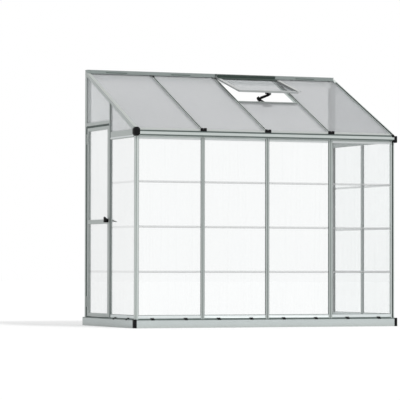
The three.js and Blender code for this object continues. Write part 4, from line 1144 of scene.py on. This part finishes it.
class GREENHOUSE_OT_stay_knob(Operator):
    """Makes the wing knob, the sleeve and the lower cover of the vent's stay, and the stop beside its lug"""

    bl_idname = "greenhouse.stay_knob"
    bl_label = "Stay knob"

    def execute(self, context):
        sizes = context.scene.greenhouse_sizes
        elbow = ROOF.inverted() @ Vector(JOINTS["stay_elbow"]["pos_m"])
        low, high = in_frame("stay_upper_link", ROOF)
        self.knob(elbow, low.y, sizes.knob_radius)
        self.sleeve(elbow, low.y, high)
        self.cover(sizes.bevel)
        self.stop(sizes.bevel)
        return {"FINISHED"}

    def knob(self, elbow, front, hub):
        turn, wing, tail_share, steps = math.radians(140), 0.012, 0.3, 40
        near, far = 0.0135, 0.0038
        outline = []
        for step in range(steps):
            angle = 2 * math.pi * step / steps
            lobe = math.cos(angle - turn)
            radius = hub + wing * lobe**4 * (1.0 if lobe > 0 else tail_share)
            outline.append((radius * math.cos(angle), radius * math.sin(angle)))
        start, end = [Vector((elbow.x, front - rise, elbow.z)) for rise in (near, far)]
        mesh = prism(bmesh.new(), outline, start, end, X, Z)
        piece("stay_knob", mesh, "Black plastic", "stay_lower", bevel=0.0012, placement=ROOF)

    def sleeve(self, elbow, front, high):
        """A tapered sleeve on the face of the upper link, from the knob to the pin."""
        pin = Vector((high.x - LINK_HALF, 0, high.z - LINK_HALF))
        way = Vector((pin.x - elbow.x, 0, pin.z - elbow.z))
        foot, head, thick = 0.014, way.length - 0.004, 0.0036
        half, head_width, foot_width = LINK_HALF, LINK_HALF * 1.6, LINK_HALF * 1.9
        way.normalize()
        across = Vector((-way.z, 0, way.x))
        outline = [(foot, -half), (head, -half), (head, head_width), (foot, foot_width)]
        ends = [Vector((elbow.x, front - rise, elbow.z)) for rise in (thick, HAIR)]
        mesh = prism(bmesh.new(), outline, *ends, way, across)
        piece("stay_arm", mesh, "Black plastic", "stay_upper", bevel=0.0008, placement=ROOF)

    def cover(self, bevel):
        """The moulded cover on the stay's lower bracket."""
        foot = JOINTS["stay_lower"]["pos_m"][0]
        left, right, cut = foot - 0.070, foot + 0.016, 0.008
        top, bottom, depth, set_back = -0.0105, -0.034, 0.0112, 0.0025
        front = in_frame("vent_cross_rail", ROOF)[0].y + set_back
        outline = [
            (left, top),
            (left, bottom + cut),
            (left + cut, bottom),
            (right - cut, bottom),
            (right, bottom + cut),
            (right, top),
        ]
        mesh = prism(bmesh.new(), outline, (0, front, 0), (0, front + depth, 0), X, Z)
        piece("stay_foot_cover", mesh, "Black plastic", bevel=bevel, placement=ROOF)

    def stop(self, bevel):
        """The moulded stop beside the lug under the sash."""
        under, width, rise, cut, depth = SASH_UNDERSIDE, 0.034, 0.017, 0.007, 0.008
        inverse = VENT.inverted()
        points = [inverse @ vertex.co for vertex in NODES["vent_sash"].data.vertices]
        lug = [point for point in points if point.z < under - 0.002]
        side, front = min(point.x for point in lug), min(point.y for point in lug)
        outline = [
            (side - width, under - GAP),
            (side - width, under - rise + cut),
            (side - width + cut - 0.001, under - rise),
            (side - GAP, under - rise),
            (side - GAP, under - GAP),
        ]
        mesh = prism(bmesh.new(), outline, (0, front + HAIR, 0), (0, front + depth, 0), X, Z)
        piece("stay_stop", mesh, "Black plastic", "vent", bevel=bevel, placement=VENT)


class GREENHOUSE_OT_base_joints(Operator):
    """Forms the upper edge of the base rails and lays the dark joint strip in it, which also paints the
    shadow gap at that joint
    """

    bl_idname = "greenhouse.base_joints"
    bl_label = "Base joints"

    def execute(self, context):
        sizes = context.scene.greenhouse_sizes
        groove_over_strip = 0.0024
        # The share sets each strip's height: lower on the sides, where the joint's painted shade is lighter.
        for side, along, out, share in (("front", X, -Y, 1.0), ("left", Y, -X, 0.6), ("right", Y, X, 0.6)):
            node = f"base_rail_{side}"
            mesh, face = self.grooved(node, out, sizes)
            reach = [vertex.co.dot(along) for vertex in mesh.verts]
            made = piece(f"{node}_formed", mesh, "Base steel")
            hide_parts(node)
            wall = Wall(along, out, face - sizes.joint_depth)
            tall = (sizes.joint_height - groove_over_strip) * share
            outline = strip_outline(tall, sizes.joint_depth - GAP)
            middle = ledge() - HAIR / 2 - tall / 2
            strip = wall.level(bmesh.new(), outline, middle, min(reach) + HAIR, max(reach) - HAIR)
            piece(f"{node}_joint", strip, "Seal and painted shade strip")
        return {"FINISHED"}

    def grooved(self, node, out, sizes):
        """The rail with its face set back above the groove's foot, and the reach of its face."""
        foot = ledge() - sizes.joint_height
        mesh = copy_of(node)
        for height in (foot, foot + HAIR):
            everything = [*mesh.verts, *mesh.edges, *mesh.faces]
            bmesh.ops.bisect_plane(mesh, geom=everything, plane_co=(0, 0, height), plane_no=Z)
        face = max(vertex.co.dot(out) for vertex in mesh.verts)
        for vertex in mesh.verts:
            if vertex.co.z > foot + HAIR / 2 and vertex.co.dot(out) > face - NEAR:
                vertex.co -= out * sizes.joint_depth
        return mesh, face


class GREENHOUSE_OT_base_clips(Operator):
    """Sets the small black clips and the dark strips on the base, in front of the sills"""

    bl_idname = "greenhouse.base_clips"
    bl_label = "Base clips"

    def execute(self, context):
        sizes = context.scene.greenhouse_sizes
        centre = (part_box("corner_post_left")[1].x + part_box("corner_post_right")[0].x) / 2
        height, crown, front, depth = 0.0075, 0.006, 0.004, 0.006
        foot = [(HAIR, SILL), (height, SILL), (crown, SILL + front), (HAIR, SILL + depth)]
        for wall, axis, sheet, start, end in wall_bays():
            mesh = wall.level(bmesh.new(), foot, ledge(), start + GAP, end - GAP)
            piece(f"{sheet}_foot_strip", mesh, "Seal and painted shade strip")
            if sheet in SIDE_SHEETS[1:]:
                continue
            middle = (start + end) / 2
            if axis == 0:
                middle = centre + (FRONT_SHEETS.index(sheet) - 1.5) * 2 * sizes.clip_pitch
            for side, step in (("a", -0.5), ("b", 0.5)):
                self.clip(f"{sheet}_clip_{side}", wall, middle + step * sizes.clip_pitch, sizes)
        return {"FINISHED"}

    def clip(self, name, wall, along, sizes):
        """A clip that stands against the sill and hooks over the base's edge into the groove."""
        half, tall, deep, plate, share = sizes.clip_width / 2, sizes.clip_height, 0.011, 0.0022, 0.6
        rail = "base_rail_front" if wall.out.y else "base_rail_left"
        edge = max(wall.out.dot(corner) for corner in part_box(rail)) - wall.reach
        hook = edge - sizes.joint_depth + HAIR
        outline = [
            (HAIR, SILL),
            (HAIR, hook),
            (-sizes.joint_height, hook),
            (-sizes.joint_height, edge),
            (plate, edge),
            (plate, SILL + deep),
            (tall * share, SILL + deep),
            (tall, SILL + deep * share),
            (tall, SILL),
        ]
        mesh = wall.level(bmesh.new(), outline, ledge(), along - half, along + half)
        piece(name, mesh, "Black plastic", bevel=GAP)


class GREENHOUSE_OT_wall_seals(Operator):
    """Lays sealing beads around the wall sheets, which also paint the shade in the corners beside the posts,
    and dark strips of painted shade in the posts' faces
    """

    bl_idname = "greenhouse.wall_seals"
    bl_label = "Wall seals"

    def execute(self, context):
        sizes = context.scene.greenhouse_sizes
        width = sizes.seal_width
        low_share = 0.45
        bead = bead_outline(width, sizes.seal_height)
        low_bead = bead_outline(width, sizes.seal_height * low_share)
        foot = sill_top() + GAP
        tops = [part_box("gutter")[0].z - GAP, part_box("eave_rail_left")[0].z - GAP]
        for wall, axis, sheet, start, end in wall_bays():
            mesh = bmesh.new()
            # The upright beads stand beside the posts and paint the shade in the corners between the posts'
            # caps and the sheets.
            wall.upright(mesh, low_bead if axis else bead, start + width / 2, foot, tops[axis])
            if sheet != FRONT_SHEETS[-1]:
                wall.upright(mesh, low_bead if axis else bead, end - width / 2, foot, tops[axis])
            wall.level(mesh, low_bead, foot + width / 2, start + width, end - width)
            piece(f"{sheet}_seal", mesh, "Seal and painted shade strip")
        self.post_strips(sizes)
        self.rear_strip()
        return {"FINISHED"}

    def post_strips(self, sizes):
        """The strips of the posts, painted shade of their grooves and shaded sides; those off the middle have
        their distance from the post's edge here.
        """
        front = front_wall(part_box("front_post_1")[0].y)
        left = left_wall(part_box("door_post")[0].x)
        groove = sizes.groove_shade_width
        strips = [(front, post, centre_of(post, 0), groove) for post in FRONT_POSTS]
        for wall, axis, post, from_edge, width in (
            (front, 0, "corner_post_left", 0.008, groove * 0.85),
            (front, 0, "corner_post_right", 0.015, 0.0115),
            (left, 1, "door_post", 0.0075, 0.0125),
        ):
            strips.append((wall, post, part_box(post)[0][axis] + from_edge, width))
        inset, under_lintel = 0.001, 0.008
        for wall, post, along, width in strips:
            low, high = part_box(post)
            top = high.z - (under_lintel if post == "door_post" else inset)
            outline = strip_outline(width, sizes.strip_height)
            mesh = wall.upright(bmesh.new(), outline, along, low.z + inset, top)
            finish = "Painted shade strip" if post == "corner_post_right" else "Seal and painted shade strip"
            piece(f"{post}_strip", mesh, finish)

    def rear_strip(self):
        """The dark strip on the inner face of the right rear post, painted shade on that face."""
        width, height, inset, clear = 0.0125, 0.0015, 0.001, 0.0008
        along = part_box("side_sheet_right_rear")[0].x - clear - width / 2
        face = front_wall(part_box("rear_post_right")[0].y)
        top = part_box("eave_rail_right")[0].z - inset
        mesh = face.upright(bmesh.new(), strip_outline(width, height), along, sill_top() + inset, top)
        piece("rear_post_right_painted_shade_strip", mesh, "Painted shade strip")


class GREENHOUSE_OT_door_seals(Operator):
    """Lays the dark seals around the door, broken where the hinges stand"""

    bl_idname = "greenhouse.door_seals"
    bl_label = "Door seals"

    def execute(self, context):
        thick = context.scene.greenhouse_sizes.strip_height
        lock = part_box("door_lock_stile")[0]
        face = left_wall(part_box("door_top_rail")[0].x)
        self.door_seal(face, lock.y, thick)
        self.doorway_seal(face, lock.x, thick)
        return {"FINISHED"}

    def door_seal(self, face, lock_edge, thick):
        low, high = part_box("door_hinge_stile")
        inset, clear, side_width, head_width = 0.001, 0.0015, 0.013, 0.009
        from_edge, from_top = side_width / 2 + GAP, head_width / 2 + HAIR / 2
        edge = JOINTS["door_hinge"]["pos_m"][1] - clear
        mesh = bmesh.new()
        head = strip_outline(head_width, thick)
        face.level(mesh, head, high.z - from_top, lock_edge + NEAR, edge - side_width - inset)
        for start, end in self.between_hinges(low.z + inset, high.z - inset):
            face.upright(mesh, strip_outline(side_width, thick), edge - from_edge, start, end)
        piece("door_seal", mesh, "Seal and painted shade strip", "door")

    def doorway_seal(self, face, lock_face, thick):
        """The seal on the lintel and the rear post, with the strip on the threshold."""
        low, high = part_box("door_lintel")
        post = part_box("rear_post_left")[0]
        inset, side_width, head_width = 0.001, 0.012, 0.006
        from_edge, from_foot = side_width / 2 + 2 * HAIR, head_width / 2 + HAIR
        mesh = bmesh.new()
        face.level(mesh, strip_outline(head_width, thick), low.z + from_foot, low.y + GAP, high.y - GAP)
        for start, end in self.between_hinges(post.z + inset, low.z):
            face.upright(mesh, strip_outline(side_width, thick), post.y + from_edge, start, end)
        inwards, height, depth, front, crown = 0.006, 0.0085, 0.0085, 0.007, 0.0045
        threshold = left_wall(lock_face + inwards)
        outline = [(HAIR, 0), (height, 0), (height, front), (crown, depth), (HAIR, depth)]
        threshold.level(mesh, outline, ledge(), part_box("door_post")[1].y + NEAR, post.y - NEAR)
        piece("doorway_seal", mesh, "Seal and painted shade strip")

    def between_hinges(self, low, high):
        """The stretches of a height that keep clear of both hinges."""
        clear = 0.003
        stretches = []
        for leaf in HINGE_LEAVES:
            leaf_low, leaf_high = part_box(leaf)
            stretches.append((low, leaf_low.z - clear))
            low = leaf_high.z + clear
        stretches.append((low, high))
        return stretches


class GREENHOUSE_OT_screws(Operator):
    """Sets screws in both leaves of each door hinge"""

    bl_idname = "greenhouse.screws"
    bl_label = "Screws"

    def execute(self, context):
        sizes = context.scene.greenhouse_sizes
        radius, height = sizes.screw_radius, sizes.screw_height
        from_knuckle, from_edge, apart, clear = 0.0145, 0.0125, 0.026, 0.004
        stile = NODES["door_hinge_stile"].data.vertices
        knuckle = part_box(HINGE_LEAVES[0])[0].y - clear
        moving = min(vertex.co.x for vertex in stile if vertex.co.y < knuckle)
        for leaf in HINGE_LEAVES:
            low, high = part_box(leaf)
            middle = (low.z + high.z) / 2
            fixed, swinging = bmesh.new(), bmesh.new()
            for rise in (-apart, apart):
                screw(fixed, (low.x + LEAF_FACE, high.y - from_edge, middle + rise), -X, radius, height)
                screw(swinging, (moving, low.y - from_knuckle, middle + rise), -X, radius, height)
            piece(f"{leaf}_screws", fixed, "Screw steel", "frame")
            piece(f"{leaf}_door_screws", swinging, "Screw steel", "door")
        return {"FINISHED"}


CLASSES = [
    GreenhouseColours,
    GreenhouseSizes,
    GreenhouseStage,
    GREENHOUSE_OT_stage,
    GREENHOUSE_OT_profiles,
    GREENHOUSE_OT_sheets,
    GREENHOUSE_OT_black_pieces,
    GREENHOUSE_OT_end_caps,
    GREENHOUSE_OT_outer_handle,
    GREENHOUSE_OT_gutter_trims,
    GREENHOUSE_OT_roof_trims,
    GREENHOUSE_OT_ridge_fittings,
    GREENHOUSE_OT_stay_knob,
    GREENHOUSE_OT_base_joints,
    GREENHOUSE_OT_base_clips,
    GREENHOUSE_OT_wall_seals,
    GREENHOUSE_OT_door_seals,
    GREENHOUSE_OT_screws,
]


class GREENHOUSE_PT_panel(Panel):
    """Lists the pieces of the greenhouse"""

    bl_idname = "GREENHOUSE_PT_panel"
    bl_label = "Lean-to greenhouse"
    bl_space_type = "VIEW_3D"
    bl_region_type = "UI"
    bl_category = "Greenhouse"

    def draw(self, context):
        for kind in CLASSES:
            if issubclass(kind, Operator):
                self.layout.operator(kind.bl_idname)


def register():
    for kind in [*CLASSES, GREENHOUSE_PT_panel]:
        bpy.utils.register_class(kind)
    bpy.types.Scene.greenhouse_colours = PointerProperty(type=GreenhouseColours)
    bpy.types.Scene.greenhouse_sizes = PointerProperty(type=GreenhouseSizes)
    bpy.types.Scene.greenhouse_stage = PointerProperty(type=GreenhouseStage)


def unregister():
    del bpy.types.Scene.greenhouse_stage
    del bpy.types.Scene.greenhouse_sizes
    del bpy.types.Scene.greenhouse_colours
    for kind in reversed([*CLASSES, GREENHOUSE_PT_panel]):
        bpy.utils.unregister_class(kind)


def main():
    register()
    bpy.ops.greenhouse.stage()
    bpy.ops.greenhouse.profiles()
    bpy.ops.greenhouse.sheets()
    bpy.ops.greenhouse.black_pieces()
    bpy.ops.greenhouse.end_caps()
    bpy.ops.greenhouse.outer_handle()
    bpy.ops.greenhouse.gutter_trims()
    bpy.ops.greenhouse.roof_trims()
    bpy.ops.greenhouse.ridge_fittings()
    bpy.ops.greenhouse.stay_knob()
    bpy.ops.greenhouse.base_joints()
    bpy.ops.greenhouse.base_clips()
    bpy.ops.greenhouse.wall_seals()
    bpy.ops.greenhouse.door_seals()
    bpy.ops.greenhouse.screws()


if __name__ == "__main__":
    main()
